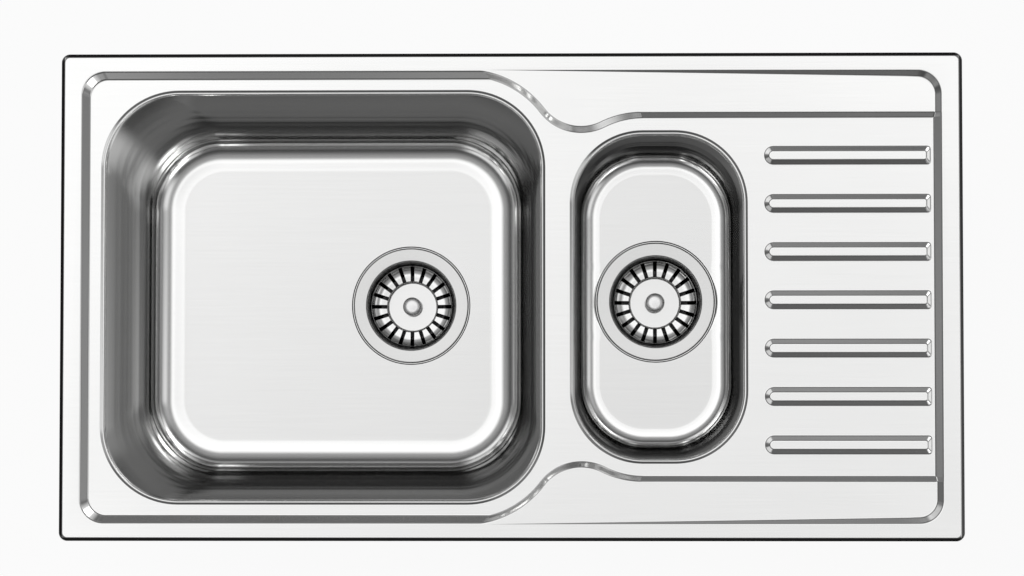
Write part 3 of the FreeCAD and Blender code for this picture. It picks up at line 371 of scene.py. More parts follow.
# %% Rim
EDGE_PROFILE = (
    (0, 5.5), (0, 1.8), (0.06, 1.55), (0.2, 1.33), (0.45, 1.17), (0.8, 1.03), (1.6, 0.73), (2.4, 0.43),
    (2.8, 0.28), (3.2, 0.14), (3.6, 0.05), (4.0, 0.01), (4.4, 0),
)
edge_rows = []
for inset, below in EDGE_PROFILE:
    plan = (size - inset * MM for size in (half_length, half_width, OUTER_CORNER))
    edge_rows.append(rounded(0, *plan, rim_top - below * MM))
deck.strip(edge_rows)
left_top = wave_top[KINK:]
deck.fill(edge_rows[-1], np.vstack((end_rows[-1], front(left_top)[::-1], left_top[::-1])))
print("rim edge of", len(edge_rows), "rows")

# %% [markdown]
# ## Drainer ribs
# Seven ribs are pressed up from below: a narrow flat crown, sloping flanks, a round nose towards the
# bowls and a blunt end at the rim. Bevelled boxes could stand on the deck, but a pressed rib is part of
# the sheet. One outline at the foot and one at the crown give the whole rib, and the foot is a hole in
# the deck's fill.

# %% Ribs
RIB_COUNT, RIB_GAP, RIB_SIDE_GAP, RIB_END_GAP = 7, 14.5 * MM, 32.2 * MM, 1.4 * MM
RIB_WIDTH, RIB_CROWN, RIB_HEIGHT, RIB_END_RUN = 19.2 * MM, 6.4 * MM, 3 * MM, 5.6 * MM
RIB_CORNER, RIB_CROWN_CORNER, RIB_SHIFT, RIB_STEPS = 3.6 * MM, 1.6 * MM, 3.2 * MM, 12


def rib_outline(left, right, half, corner, middle_y, height):
    nose = arc((left + half, middle_y), half, 90, 270, 2 * RIB_STEPS)
    low = arc((right - corner, middle_y - half + corner), corner, -90, 0, RIB_STEPS)
    high = arc((right - corner, middle_y + half - corner), corner, 0, 90, RIB_STEPS)
    return lift(np.vstack((nose, low, high)), height)


rib_left, rib_right = half_right + RIB_GAP, well_x - RIB_END_GAP
rib_flank = (RIB_WIDTH - RIB_CROWN) / 2
rib_feet = []
for middle_y in np.linspace(-1, 1, RIB_COUNT) * (end_y - RIB_SIDE_GAP) - RIB_SHIFT:
    rib_foot = rib_outline(rib_left, rib_right, RIB_WIDTH / 2, RIB_CORNER, middle_y, deck_top)
    crown = rib_outline(
        rib_left + rib_flank,
        rib_right - RIB_END_RUN,
        RIB_CROWN / 2,
        RIB_CROWN_CORNER,
        middle_y,
        deck_top + RIB_HEIGHT,
    )
    deck.strip(wall(rib_foot, crown))
    deck.fill(crown)
    rib_feet.append(rib_foot)
print(len(rib_feet), "ribs of", round((rib_right - rib_left) / MM, 1), "mm")

# %% [markdown]
# ## Bowls
# Each bowl is drawn deep, with leaning walls and a large radius at the floor, and welded to a collar of
# the deck just under the lip. A box could be pulled into that shape with subdivision, but its corners
# would not keep true radii. A ring at any depth is a rounded rectangle, so the whole bowl is a stack of
# rings. The wall flares a little towards the lip. The floor radius runs out softly into the floor, and
# stops short where it would run into the strainer's seat. The floor itself is a flat fill round that
# seat.

# %% Bowl sizes
LIP_INSET, COLLAR_DEPTH = 4.2 * MM, 5 * MM
LIP_PROFILE = (
    (0, 0), (0.25, 0.03), (0.5, 0.12), (0.8, 0.26), (1.4, 0.56), (2.0, 0.86), (2.4, 1.02), (2.7, 1.1),
    (3.1, 1.16), (3.5, 1.24), (3.8, 1.42), (4.05, 1.75), (4.25, 2.3), (4.45, 3.2), (4.62, 4.4),
)
FLOOR_STEPS, WALL_STEPS, SIDE_STEPS = 32, 40, 28
FLARE, FLARE_END = 0.5, 0.75
WASTE_HOLE, FLANGE, SEAT_DEPTH = 45 * MM, 58 * MM, 1.2 * MM
SEAT_WIDTH, SEAT_RUN, SEAT_GAP = 1.2 * MM, 1.2 * MM, 0.6 * MM
seat_clear = FLANGE + SEAT_WIDTH + SEAT_RUN + SEAT_GAP
RING_PITCH, RING_HEIGHT = 3.1 * MM, 0.06 * MM
RING_SECOND, RING_RATE, RING_START = 0.6, 2.3, 1


def draw_rings(below):
    """The faint rings that drawing leaves on a wall, as two waves of different lengths."""
    turn = below / RING_PITCH
    return RING_HEIGHT * (math.sin(turn) + RING_SECOND * math.sin(RING_RATE * turn + RING_START))


def with_sides(row):
    """The row with more points along its left and right sides."""
    shares = np.linspace(0, 1, SIDE_STEPS + 1)[1:-1, None]
    half = len(row) // 2
    left = row[half - 1] + shares * (row[half] - row[half - 1])
    right = row[-1] + shares * (row[0] - row[-1])
    return np.vstack((row[:half], left, row[half:], right))


def waste_place(stem):
    """The middle of a strainer from left to right, and the height of its flange."""
    low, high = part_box(f"{stem}_strainer_cup")
    return (low.x + high.x) / 2, high.z


wastes = {stem: waste_place(stem) for stem in ("main", "half")}
print("wastes at", [round(x / MM, 1) for x, height in wastes.values()], "mm")


# %% Bowl rings
class Bowl:
    """One drawn bowl, from its lip in the deck to the hole for its strainer."""

    def __init__(self, left, lip, depth, runs, floor_corner, floor_radius, softness, waste_x):
        self.centre = left + lip[0]
        self.lip = lip
        self.depth = depth
        self.runs = runs
        self.floor_corner = floor_corner
        self.floor_radius = floor_radius
        self.softness = softness
        self.waste_x = waste_x

    def ring(self, below, inset=0.0):
        """The inside of the wall at a depth below the deck."""
        share = min(1, below / self.depth)
        share += FLARE * share * max(0, 1 - share / FLARE_END) ** 2
        half_x, half_y, corner = (size - LIP_INSET for size in self.lip)
        corner += share * (self.floor_corner - corner)
        half_x -= share * self.runs[0]
        half_y -= share * self.runs[1]
        return rounded(self.centre, half_x - inset, half_y - inset, corner - inset, deck_top - below)

    def collar(self):
        """Rows of the deck's lip, rolled down to the weld."""
        rows = []
        for inset, below in LIP_PROFILE:
            half_x, half_y, corner = (size - inset * MM for size in self.lip)
            rows.append(rounded(self.centre, half_x, half_y, corner, deck_top - below * MM))
        return rows + [self.ring(COLLAR_DEPTH)]

    def seat_room(self, row):
        """Each point's side, and how far in from the wall the floor radius may reach before the seat."""
        side = np.sign(row[:, 0] - self.centre)
        foot_x = self.centre + side * (self.lip[0] - LIP_INSET - self.runs[0])
        beside = np.sqrt(np.maximum(0, seat_clear ** 2 - row[:, 1] ** 2))
        return side, np.where(beside > 0, abs(foot_x - self.waste_x) - beside, self.floor_radius)

    def floor_curve(self):
        """Insets from the wall and heights over the floor, along the floor radius."""
        lean = math.atan(sum(self.runs) / 2 / self.depth)
        sweep = math.pi / 2 - lean
        reach = self.floor_radius * math.tan(sweep / 2)
        turns = sweep * np.linspace(0, 1, FLOOR_STEPS + 1) ** self.softness
        steps = (turns[1:] + turns[:-1]) / 2
        run = np.concatenate(([0], np.cumsum(np.cos(steps))))
        rise = np.concatenate(([0], np.cumsum(np.sin(steps))))
        scale = reach / (run[-1] - rise[-1] * math.tan(lean))
        return reach - scale * run[::-1], scale * rise[::-1]

    def inside(self):
        """Rows of the wall and the floor radius, from the weld down."""
        insets, heights = self.floor_curve()
        wall_foot = self.depth - heights[0]
        rows = []
        for share in np.linspace(0, 1, WALL_STEPS + 1)[:-1]:
            below = COLLAR_DEPTH + share * (wall_foot - COLLAR_DEPTH)
            rows.append(with_sides(self.ring(below, draw_rings(below) * math.sin(math.pi * share))))
        for inset in insets:
            row = with_sides(self.ring(self.depth, inset))
            side, room = self.seat_room(row)
            kept = np.minimum(1, room / insets[-1]) if inset > 0 else 1
            row[:, 0] += side * inset * (1 - kept)
            row[:, 2] += np.interp(inset * kept, insets, heights)
            rows.append(row)
        return rows

    def skin(self):
        """The bowl from the weld to the floor, then the seat and the hole."""
        floor = deck_top - self.depth
        seat_r = FLANGE + SEAT_WIDTH
        seat_low = circle(self.waste_x, seat_r, floor - SEAT_DEPTH)
        seat = wall(seat_low, circle(self.waste_x, seat_r + SEAT_RUN, floor))
        rows = self.inside()
        made = Skin()
        made.strip(rows)
        made.fill(rows[-1], seat[-1])
        made.strip(seat)
        made.strip([seat[0], circle(self.waste_x, WASTE_HOLE, floor - SEAT_DEPTH)])
        return made


print("a bowl takes", WALL_STEPS + FLOOR_STEPS + 1, "rings")

# %% [markdown]
# ## Both bowls and the deck
# The main bowl is wide and deep. The half bowl is narrow and shallow, with steeper walls and a tighter
# radius. All three sheets could be one mesh, but on the real sink they are separate pressings, welded
# together. So each is a mesh of its own, and the deck ends in two collars that the bowls carry on from.

# %% Both bowls and the deck
main_bowl = Bowl(
    left=MAIN_END_GAP - well_x,
    lip=(MAIN_LENGTH / 2, main_y, MAIN_CORNER),
    depth=160 * MM,
    runs=(24 * MM, 28.5 * MM),
    floor_corner=70 * MM,
    floor_radius=40 * MM,
    softness=2.0,
    waste_x=wastes["main"][0],
)
half_bowl = Bowl(
    left=half_left,
    lip=(HALF_LENGTH / 2, half_y, HALF_CORNER),
    depth=90 * MM,
    runs=(8 * MM, 12 * MM),
    floor_corner=62 * MM,
    floor_radius=25 * MM,
    softness=2.4,
    waste_x=wastes["half"][0],
)
lips = []
for bowl in (main_bowl, half_bowl):
    collar = bowl.collar()
    deck.strip(collar)
    lips.append(collar[0])
deck.fill(np.vstack((well_foot, front(well_foot))), *lips, *rib_feet)

steel_sheets = [
    deck.make("pressed_deck", "sink", "sink_deck", gauge=GAUGE),
    main_bowl.skin().make("main_bowl_skin", "sink", "main_bowl", gauge=GAUGE),
    half_bowl.skin().make("half_bowl_skin", "sink", "half_bowl", gauge=GAUGE),
]

# %% [markdown]
# ## Strainer cups
# A cup hangs in each waste hole by its wide flange, which is dished a little so that water runs in. Its
# floor has a hole for the clamping bolt and six drain holes round it. Booleans could cut the holes. As
# loops in the floor's fill they keep clean round edges, and the flange and the wall are rings on one
# axis.

# %% Strainer cups
CUP_RADIUS, CUP_FLOOR, CUP_DEPTH, CUP_STRAIGHT = 42.5 * MM, 33 * MM, 40 * MM, 16 * MM
FLANGE_DISH = 0.4 * MM
FLANGE_PROFILE = ((0, 0.85), (0.05, 0.6), (0.2, 0.34), (0.45, 0.15), (0.8, 0.04), (1.2, 0))
MOUTH_PROFILE = (
    (3.8, 0), (3.5, 0.05), (3.3, 0.2), (3.1, 0.5), (2.2, 2.1), (1.0, 4.2), (0.4, 5.4), (0, 7.0),
)
DRAIN_CIRCLE, DRAIN_HOLE, DRAIN_COUNT, BOLT_HOLE = 20 * MM, 6.5 * MM, 6, 5.4 * MM
HOLE_STEPS = 32


def strainer_cup(stem, waste_x, top):
    """The pressing of one cup, from the edge of its flange to its drain holes."""
    floor = top - CUP_DEPTH
    rows = [circle(waste_x, FLANGE - run * MM, top - below * MM) for run, below in FLANGE_PROFILE]
    for run, below in MOUTH_PROFILE:
        rows.append(circle(waste_x, CUP_RADIUS + run * MM, top - FLANGE_DISH - below * MM))
    rows.append(circle(waste_x, CUP_RADIUS, top - CUP_STRAIGHT))
    rows.append(circle(waste_x, CUP_FLOOR, floor))
    holes = [circle(waste_x, BOLT_HOLE, floor, HOLE_STEPS)]
    for number in range(DRAIN_COUNT):
        turn = 2 * math.pi * number / DRAIN_COUNT
        hole = circle(waste_x + DRAIN_CIRCLE * math.cos(turn), DRAIN_HOLE, floor, HOLE_STEPS)
        hole[:, 1] += DRAIN_CIRCLE * math.sin(turn)
        holes.append(hole)
    made = Skin()
    made.strip(rows)
    made.fill(rows[-1], *holes)
    return made.make(f"{stem}_cup_pressing", "sink", f"{stem}_strainer_cup", gauge=GAUGE)


cups = [strainer_cup(stem, *place) for stem, place in wastes.items()]

# %% [markdown]
# ## Baskets
# The basket is a pressed dish with twenty slots. Its middle is a raised disc, the lands between the
# slots run out nearly flat and then turn up to a rolled rim. Slots could be cut out of a plain dish, but
# here they are places of the grid that stay open. They have parallel sides, so each land is a wedge: the
# columns of the grid are set by the slot's half width at each radius.

# %% Baskets
SLOT_COUNT, SLOT_HALF, LAND_STEPS = 20, 1.95 * MM, 4
BASKET_GAUGE = 0.7 * MM
BASKET_PROFILE = (
    (3.1, -31.0), (12, -31.0), (23.8, -31.0), (24.6, -30.85), (25.1, -30.4), (25.35, -29.6), (25.5, -26),
    (25.65, -24.3), (26.0, -23.8), (26.6, -23.6), (29.5, -23.45), (33, -23.05), (36, -22.4), (38.2, -21.6),
    (39.5, -20.8), (40.1, -20.1), (40.4, -18.6), (40.55, -16), (40.65, -13), (40.7, -12), (40.85, -11.5),
    (41.05, -11.15), (41.25, -11.05), (41.45, -11.3), (41.6, -11.8), (41.6, -13.0),
)
SLOT_FROM, SLOT_TO = 8, 17


def basket(stem, waste_x, top):
    """The slotted dish of one basket, as rings whose columns follow the slots."""
    pitch = 2 * math.pi / SLOT_COUNT
    rows = []
    for radius, height in BASKET_PROFILE:
        radius *= MM
        half = min(pitch / 4, math.asin(min(1, SLOT_HALF / radius)))
        turns = []
        for number in range(SLOT_COUNT):
            middle = math.pi / 2 + number * pitch
            turns.extend(np.linspace(middle + half, middle + pitch - half, LAND_STEPS + 1))
        plan = np.column_stack((waste_x + radius * np.cos(turns), radius * np.sin(turns)))
        rows.append(lift(plan, top + height * MM))
    open_columns = range(LAND_STEPS, SLOT_COUNT * (LAND_STEPS + 1), LAND_STEPS + 1)
    skip = {(row, column) for row in range(SLOT_FROM, SLOT_TO) for column in open_columns}
    made = Skin()
    made.strip(rows, skip=skip)
    return made.make(f"{stem}_basket_pressing", f"{stem}_basket", f"{stem}_basket", gauge=BASKET_GAUGE)


baskets = [basket(stem, *place) for stem, place in wastes.items()]

# %% [markdown]
# ## Flange gaskets
# A rubber ring lies between each flange and the bowl. It reaches a little past the flange, where its
# edge shows as a thin dark line. A bevelled torus could stand in for it. A profile swept round the axis
# gives its flat faces and rounded edge exactly.

# %% Flange gaskets
GASKET_PROFILE = (
    (46, -1.75), (58.4, -1.75), (58.6, -1.55), (58.6, -1.2), (58.4, -0.95), (46, -0.95), (46, -1.75),
)


def turned(name, body, node, profile, waste_x, top):
    """A piece swept round the axis of a strainer, from radii and heights in millimetres."""
    made = Skin()
    made.strip([circle(waste_x, radius * MM, top + height * MM) for radius, height in profile])
    return made.make(name, body, node)


gaskets = [
    turned(f"{stem}_gasket_ring", "sink", f"{stem}_flange_gasket", GASKET_PROFILE, *place)
    for stem, place in wastes.items()
]

# %% [markdown]
# ## Knobs
# The knob is turned from bar: a domed head on a thin neck, a collar that clamps the basket, and a pin
# that guides it into the bolt. A screw modifier could sweep it. The sweep of the gaskets does the same,
# and its profile can be read as a lathe operator would read it, from the pin's end up to the dome.

# %% Knobs
KNOB_PROFILE = (
    (0, -47.7), (2.0, -47.7), (2.3, -47.4), (2.3, -34.7), (3.0, -34.7), (3.0, -31.0), (4.8, -31.0),
    (5.0, -30.8), (5.0, -29.2), (4.8, -29.0), (3.4, -28.9), (3.0, -28.5), (3.0, -23.6), (3.5, -23.0),
    (5.5, -22.7), (7.4, -22.3), (8.7, -21.6), (9.3, -20.6), (9.5, -19.4), (9.5, -18.3), (9.35, -17.3),
    (9.05, -16.4), (8.55, -15.7), (7.8, -15.15), (6.8, -14.78), (5.2, -14.48), (3.4, -14.29), (1.8, -14.2),
    (0.9, -14.18), (0, -14.18),
)
knobs = [
    turned(f"{stem}_knob_turning", f"{stem}_basket", f"{stem}_basket_knob", KNOB_PROFILE, *place)
    for stem, place in wastes.items()
]

# %% [markdown]
# ## Carried-over pieces
# Clips, brackets, pads, waste bodies and the other parts below the sheet keep their CAD shape. They
# could be modelled again, but hardly show. Their meshes come face by face, so a modifier welds them and
# smooths across the gentle edges only, and the CAD meshes stay untouched.

# %% Smoothing of CAD pieces
def smoothing_group():
    """Geometry nodes that weld a mesh, smooth its faces and keep its steep edges sharp."""
    group = bpy.data.node_groups.new("weld_and_smooth", "GeometryNodeTree")
    for way in ("INPUT", "OUTPUT"):
        group.interface.new_socket("Geometry", in_out=way, socket_type="NodeSocketGeometry")
    make = group.nodes.new
    start, end = make("NodeGroupInput"), make("NodeGroupOutput")
    weld = make("GeometryNodeMergeByDistance")
    weld.inputs["Distance"].default_value = WELD
    faces = make("GeometryNodeSetShadeSmooth")
    edges = make("GeometryNodeSetShadeSmooth")
    edges.domain = "EDGE"
    edges.inputs["Shade Smooth"].default_value = False
    angle = make("GeometryNodeInputMeshEdgeAngle")
    steep = make("FunctionNodeCompare")
    steep.operation = "GREATER_THAN"
    steep.inputs[1].default_value = SHARP
    join = group.links.new
    join(start.outputs[0], weld.inputs["Geometry"])
    join(weld.outputs[0], faces.inputs[0])
    join(faces.outputs[0], edges.inputs[0])
    join(angle.outputs[0], steep.inputs[0])
    join(steep.outputs[0], edges.inputs["Selection"])
    join(edges.outputs[0], end.inputs[0])
    return group


smooth_cad = smoothing_group()
carried = {name: node for name, node in frame["nodes"].items() if not node.hide_render}
for node in carried.values():
    node.modifiers.new("weld and smooth", "NODES").node_group = smooth_cad
    node.modifiers.new("facing", "WEIGHTED_NORMAL").keep_sharp = True
print(len(carried), "carried pieces:", ", ".join(sorted(carried)))

# %% [markdown]
# ## Shader maths
# A finish is a graph of nodes. It could be wired by hand, node by node, but then it is hard to read. So
# one small class wraps a socket, and its operators add Math nodes: a sum on the surface reads like a sum
# in Python. Any other node comes from one method that takes its type, its settings and its sockets.

# %% Wires and graphs
class Wire:
    """One output socket of a graph, which can be used in sums."""

    def __init__(self, graph, socket):
        self.graph = graph
        self.socket = socket

    def maths(self, kind, first, second):
        return self.graph.node("ShaderNodeMath", {"operation": kind}, {0: first, 1: second})

    def __add__(self, other):
        return self.maths("ADD", self, other)

    def __radd__(self, other):
        return self.maths("ADD", other, self)

    def __sub__(self, other):
        return self.maths("SUBTRACT", self, other)

    def __rsub__(self, other):
        return self.maths("SUBTRACT", other, self)

    def __mul__(self, other):
        return self.maths("MULTIPLY", self, other)

    def __rmul__(self, other):
        return self.maths("MULTIPLY", other, self)

    def __truediv__(self, other):
        return self.maths("DIVIDE", self, other)

    def __rtruediv__(self, other):
        return self.maths("DIVIDE", other, self)

    def __pow__(self, other):
        return self.maths("POWER", self, other)

    def __rpow__(self, other):
        return self.maths("POWER", other, self)

    def __abs__(self):
        return self.maths("ABSOLUTE", self, 0.0)


class Graph:
    """The nodes of one material or world."""

    def __init__(self, owner):
        owner.use_nodes = True
        self.tree = owner.node_tree
        self.tree.nodes.clear()

    def node(self, kind, settings=None, sockets=None, out=0):
        """A new node with its settings, then the values or links of its sockets."""
        made = self.tree.nodes.new(kind)
        for name, value in (settings or {}).items():
            setattr(made, name, value)
        for name, value in (sockets or {}).items():
            if isinstance(value, Wire):
                self.tree.links.new(value.socket, made.inputs[name])
            else:
                made.inputs[name].default_value = value
        return Wire(self, made.outputs[out]) if made.outputs else None

    def parts(self, vector):
        """The three numbers of a vector."""
        split = self.node("ShaderNodeSeparateXYZ", {}, {"Vector": vector}).socket.node
        return [Wire(self, socket) for socket in split.outputs]

    def smooth(self, value, low, high):
        """0 below low and 1 above high, or the other way round, with a soft change between."""
        flip = low > high
        ends = {
            "Value": value,
            "From Min": min(low, high),
            "From Max": max(low, high),
            "To Min": float(flip),
            "To Max": float(not flip),
        }
        return self.node("ShaderNodeMapRange", {"interpolation_type": "SMOOTHSTEP"}, ends)

    def noise(self, place, scale, stretch=(1, 1, 1), detail=3.0):
        place = self.node("ShaderNodeVectorMath", {"operation": "MULTIPLY"}, {0: place, 1: stretch})
        return self.node("ShaderNodeTexNoise", {}, {"Vector": place, "Scale": scale, "Detail": detail})

    def mix(self, share, first, second):
        """A colour between two others; the colour sockets of a Mix node are its numbers 6 and 7."""
        colours = {"Factor": share, 6: (*first, 1), 7: (*second, 1)}
        return self.node("ShaderNodeMix", {"data_type": "RGBA"}, colours, out=2)

    def bump(self, height, strength, depth):
        return self.node("ShaderNodeBump", {}, {"Strength": strength, "Distance": depth, "Height": height})


def material(name, build):
    """A material whose shader is built on the place of each point in the object."""
    made = bpy.data.materials.new(name)
    graph = Graph(made)
    place = graph.node("ShaderNodeTexCoord", out="Object")
    graph.node("ShaderNodeOutputMaterial", {}, {"Surface": build(graph, place)})
    print("finish", name, "of", len(graph.tree.nodes), "nodes")
    return made


# %% [markdown]
# ## Steel
# Stainless sheet is bright, with a faint grain along the polishing belt where it is level and round the
# walls where it is drawn. The grain could be bump alone, but at this size it reads as a change of gloss:
# long thin streaks in the roughness, with a trace of bump, over slow clouds from handling. A level under
# one paints shade into the steel's colour where it should mirror less than this room gives: on walls, on
# level floors, towards the bottom inside the cups and on the rolled edge. A low tint at grazing angles
# paints the same shade on steep walls seen from above.

# %% Steel
BELT_GRAIN, BELT_DETAIL = (14, 900, 900), 4.0
DRAW_GRAIN, DRAW_DETAIL = (6, 6, 220), 2.0
CLOUD_SCALE, CLOUD_GLOSS = 7.0, 0.5
STREAK_TINT, CLOUD_TINT = 0.06, 0.04
FLAT_PART, STEEP_SHADE_PART = (0.4, 0.9), (0.2, 0.9)
FLOOR_SHADE_PART, DEEP_SHADE_PART = (0.9995, 0.99998), (0.7, 0.93)
EDGE_SHADE_BAND, EDGE_SHADE_BLEND, EDGE_SHADE = 2.9 * MM, 0.5 * MM, 0.88
GRAIN_DEPTH = 0.05 * MM


def painted_shade_level(graph, place, upward, steep, floor, deep_shade, edge):
    """The share of its colour that the steel keeps: painted shade on walls, floors, cups and the edge."""
    # Painted shade: steep faces keep only the share steep of their colour.
    level = steep + (1 - steep) * graph.smooth(upward, *STEEP_SHADE_PART)
    # Painted shade on exactly level faces, which keep the share floor of their colour.
    if floor < 1:
        level = level * (1 - (1 - floor) * graph.smooth(upward, *FLOOR_SHADE_PART))
    # Painted shade inside the cups, darker towards the bottom.
    if deep_shade < 1:
        height = graph.parts(graph.node("ShaderNodeTexCoord", out="Generated"))[2]
        level = level * (deep_shade + (1 - deep_shade) * graph.smooth(height, *DEEP_SHADE_PART))
    # Painted shade on the rolled edge: darker in a band round the deck's ends and sides.
    if edge:
        past_x, past_y = (abs(part) - size for part, size in zip(graph.parts(place), edge))
        outside = graph.node("ShaderNodeMath", {"operation": "MAXIMUM"}, {0: past_x, 1: past_y})
        level = level * (1 - EDGE_SHADE * graph.smooth(outside, -EDGE_SHADE_BLEND, 0))
    return level


def steel(
    name, colour, rough, grain, bump, steep=1.0, floor=1.0, satin=0.0, deep_shade=1.0, grazing_shade=1.0, edge=None
):
    """A steel finish, with its grain and painted shade where it is darker."""

    def build(graph, place):
        upward = abs(graph.parts(graph.node("ShaderNodeTexCoord", out="Normal"))[2])
        flat = graph.smooth(upward, *FLAT_PART)
        belt_line = graph.noise(place, 1.0, BELT_GRAIN, BELT_DETAIL)
        draw_line = graph.noise(place, 1.0, DRAW_GRAIN, DRAW_DETAIL)
        streak = flat * belt_line + (1 - flat) * draw_line
        cloud = graph.noise(place, CLOUD_SCALE)
        roughness = rough + satin * flat + grain * (streak - 0.5) + CLOUD_GLOSS * grain * (cloud - 0.5)
        level = painted_shade_level(graph, place, upward, steep, floor, deep_shade, edge)
        shine = 1 - STREAK_TINT - CLOUD_TINT + STREAK_TINT * streak + CLOUD_TINT * cloud
        sockets = {
            "Base Color": graph.mix(level * shine, (0, 0, 0), colour),
            "Metallic": 1.0,
            "Roughness": roughness,
            # A low tint here is painted shade on steep faces seen at a grazing angle.
            "Specular Tint": (grazing_shade, grazing_shade, grazing_shade, 1),
            "Normal": graph.bump(streak, bump, GRAIN_DEPTH),
        }
        return graph.node("ShaderNodeBsdfPrincipled", {}, sockets)

    return material(name, build)


print("steel grain", BELT_GRAIN, "along the belt,", DRAW_GRAIN, "round the walls")

# %% [markdown]
# ## One steel for each piece
# The metal pieces differ in polish: a belt grain on the deck, brighter drawn bowls, brushed flanges, bright
# baskets, duller brackets and clips. One steel could dress them all, but then the pieces would run
# together. So each gets a colour, a roughness and a grain of its own from the same function, which with a
# yellow colour makes the brass of the inserts too. Some also get painted shade: the bowls on walls and
# level floors, the cups on walls and low inside, the knobs on their sides, the deck on its rolled edge.

# %% Steel finishes
# Where the painted shade of the rolled edge begins, in from the deck's ends and sides.
painted_edge_start = (half_length - EDGE_SHADE_BAND, half_width - EDGE_SHADE_BAND)
sheet_steel = steel(
    "belt_polished_sheet", (0.9, 0.9, 0.895), rough=0.12, grain=0.06, bump=0.05, edge=painted_edge_start
)
strainer_steel = steel("bright_pressing", (0.86, 0.86, 0.855), rough=0.12, grain=0.05, bump=0.04)
# Painted shade on the cups: the walls keep a twentieth of their colour, and the inside darkens towards the
# bottom.
cup_steel = steel(
    "brushed_flange", (0.74, 0.74, 0.735), rough=0.2, grain=0.06, bump=0.04, steep=0.05, deep_shade=0.06
)
bowl_colour = (0.97, 0.97, 0.965)
# Painted shade on the bowls: floor darkens level floors, steep the walls, and the low grazing tint steep
# walls seen from above.
drawn = {"rough": 0.1, "grain": 0.05, "bump": 0.02, "floor": 0.835, "satin": 0.06}
main_steel = steel("drawn_main_bowl", bowl_colour, steep=0.95, grazing_shade=0.16, **drawn)
half_steel = steel("drawn_half_bowl", bowl_colour, steep=0.8, grazing_shade=0.12, **drawn)
# Painted shade on the knob's steep sides.
knob_steel = steel("turned_knob_steel", (0.86, 0.86, 0.86), rough=0.22, grain=0.04, bump=0.02, steep=0.8)
underside_steel = steel("satin_underside", (0.74, 0.74, 0.735), rough=0.3, grain=0.1, bump=0.02)
bolt_steel = steel("turned_bolt_steel", (0.72, 0.72, 0.71), rough=0.24, grain=0.1, bump=0.1)
bracket_steel = steel("plain_strip_steel", (0.68, 0.68, 0.67), rough=0.32, grain=0.12, bump=0.15)
spring_steel = steel("spring_strip_steel", (0.58, 0.58, 0.58), rough=0.28, grain=0.1, bump=0.1)
insert_brass = steel("turned_brass", (0.78, 0.6, 0.3), rough=0.26, grain=0.1, bump=0.05)

# %% [markdown]
# ## Rubber, foam and plastic
# The soft parts are dull. Each has a fine surface of its own: rubber a moulded haze, foam fine cells,
# the sound pad a pressed grain and the waste body the satin of moulded plastic. A plain colour could do
# for pieces that hardly show, but it would look like paint up close. One noise at the size of the grain
# tints them, roughens them and raises their bump.

# %% Soft finishes
FINE_DETAIL, HAZE_SCALE = 5.0, 30.0
PALE, DARK, GLOSS_SPREAD = 1.2, 0.8, 0.2


def shade(colour, factor):
    return tuple(min(1.0, part * factor) for part in colour)


def dull(name, colour, rough, scale, bump, depth):
    """A matt finish with a grain of its own."""

    def build(graph, place):
        grain = graph.noise(place, scale, detail=FINE_DETAIL)
        haze = graph.noise(place, HAZE_SCALE)
        sockets = {
            "Base Color": graph.mix(0.5 * grain + 0.5 * haze, shade(colour, DARK), shade(colour, PALE)),
            "Roughness": rough + GLOSS_SPREAD * (grain - 0.5),
            "Normal": graph.bump(grain, bump, depth),
        }
        return graph.node("ShaderNodeBsdfPrincipled", {}, sockets)

    return material(name, build)


gasket_rubber = dull(
    "moulded_gasket_rubber", (0.03, 0.03, 0.03), rough=0.6, scale=900, bump=0.3, depth=0.1 * MM
)
stopper_rubber = dull(
    "moulded_stopper_rubber", (0.028, 0.028, 0.03), rough=0.55, scale=700, bump=0.25, depth=0.1 * MM
)
seal_foam = dull(
    "closed_cell_foam", (0.06, 0.06, 0.065), rough=0.9, scale=1400, bump=0.8, depth=0.3 * MM
)
sound_pad = dull(
    "sound_deadening_sheet", (0.07, 0.07, 0.075), rough=0.8, scale=500, bump=0.7, depth=0.4 * MM
)
waste_plastic = dull(
    "moulded_polypropylene", (0.78, 0.78, 0.77), rough=0.42, scale=350, bump=0.12, depth=0.1 * MM
)

# %% [markdown]
# ## Dressing the pieces
# On the real sink each piece is one material, apart from the sheets, which are polished above and left
# satin below. Finishes could be put on by hand. The part's record already names a slot for every piece,
# so the carried pieces take their finish from it; the slots listed for the new ones are not used.

# %% Dressing
finishes = {
    "sheet_steel": sheet_steel,
    "strainer_steel": strainer_steel,
    "knob_steel": knob_steel,
    "bolt_steel": bolt_steel,
    "bracket_steel": bracket_steel,
    "spring_steel": spring_steel,
    "insert_brass": insert_brass,
    "gasket_rubber": gasket_rubber,
    "stopper_rubber": stopper_rubber,
    "seal_foam": seal_foam,
    "sound_pad": sound_pad,
    "waste_plastic": waste_plastic,
}
slot_of = {part["node"]: part["material_slot"] for part in frame["record"]["subparts"]}
for name, node in carried.items():
    node.data.materials.clear()
    node.data.materials.append(finishes[slot_of[name]])
dressed = (
    (steel_sheets[:1], sheet_steel, "sheet_steel"),
    (steel_sheets[1:2], main_steel, "sheet_steel"),
    (steel_sheets[2:], half_steel, "sheet_steel"),
    (cups, cup_steel, "strainer_steel"),
    (baskets, strainer_steel, "strainer_steel"),
    (knobs, knob_steel, "knob_steel"),
    (gaskets, gasket_rubber, "gasket_rubber"),
)
for pieces, finish, slot in dressed:
    for piece in pieces:
        piece.data.materials.append(finish)
        if piece in steel_sheets:
            piece.data.materials.append(underside_steel)
print(len(finishes), "slots dressed")

# %% [markdown]
# ## The room that the steel mirrors
# Polished steel shows the whole room round it. Lamps could be placed one by one, but each would show as
# a hard patch. So the room is drawn as a function of direction, from the tilt in degrees off straight up
# and from the heading round the sink. The parts of the room follow in their own cells.

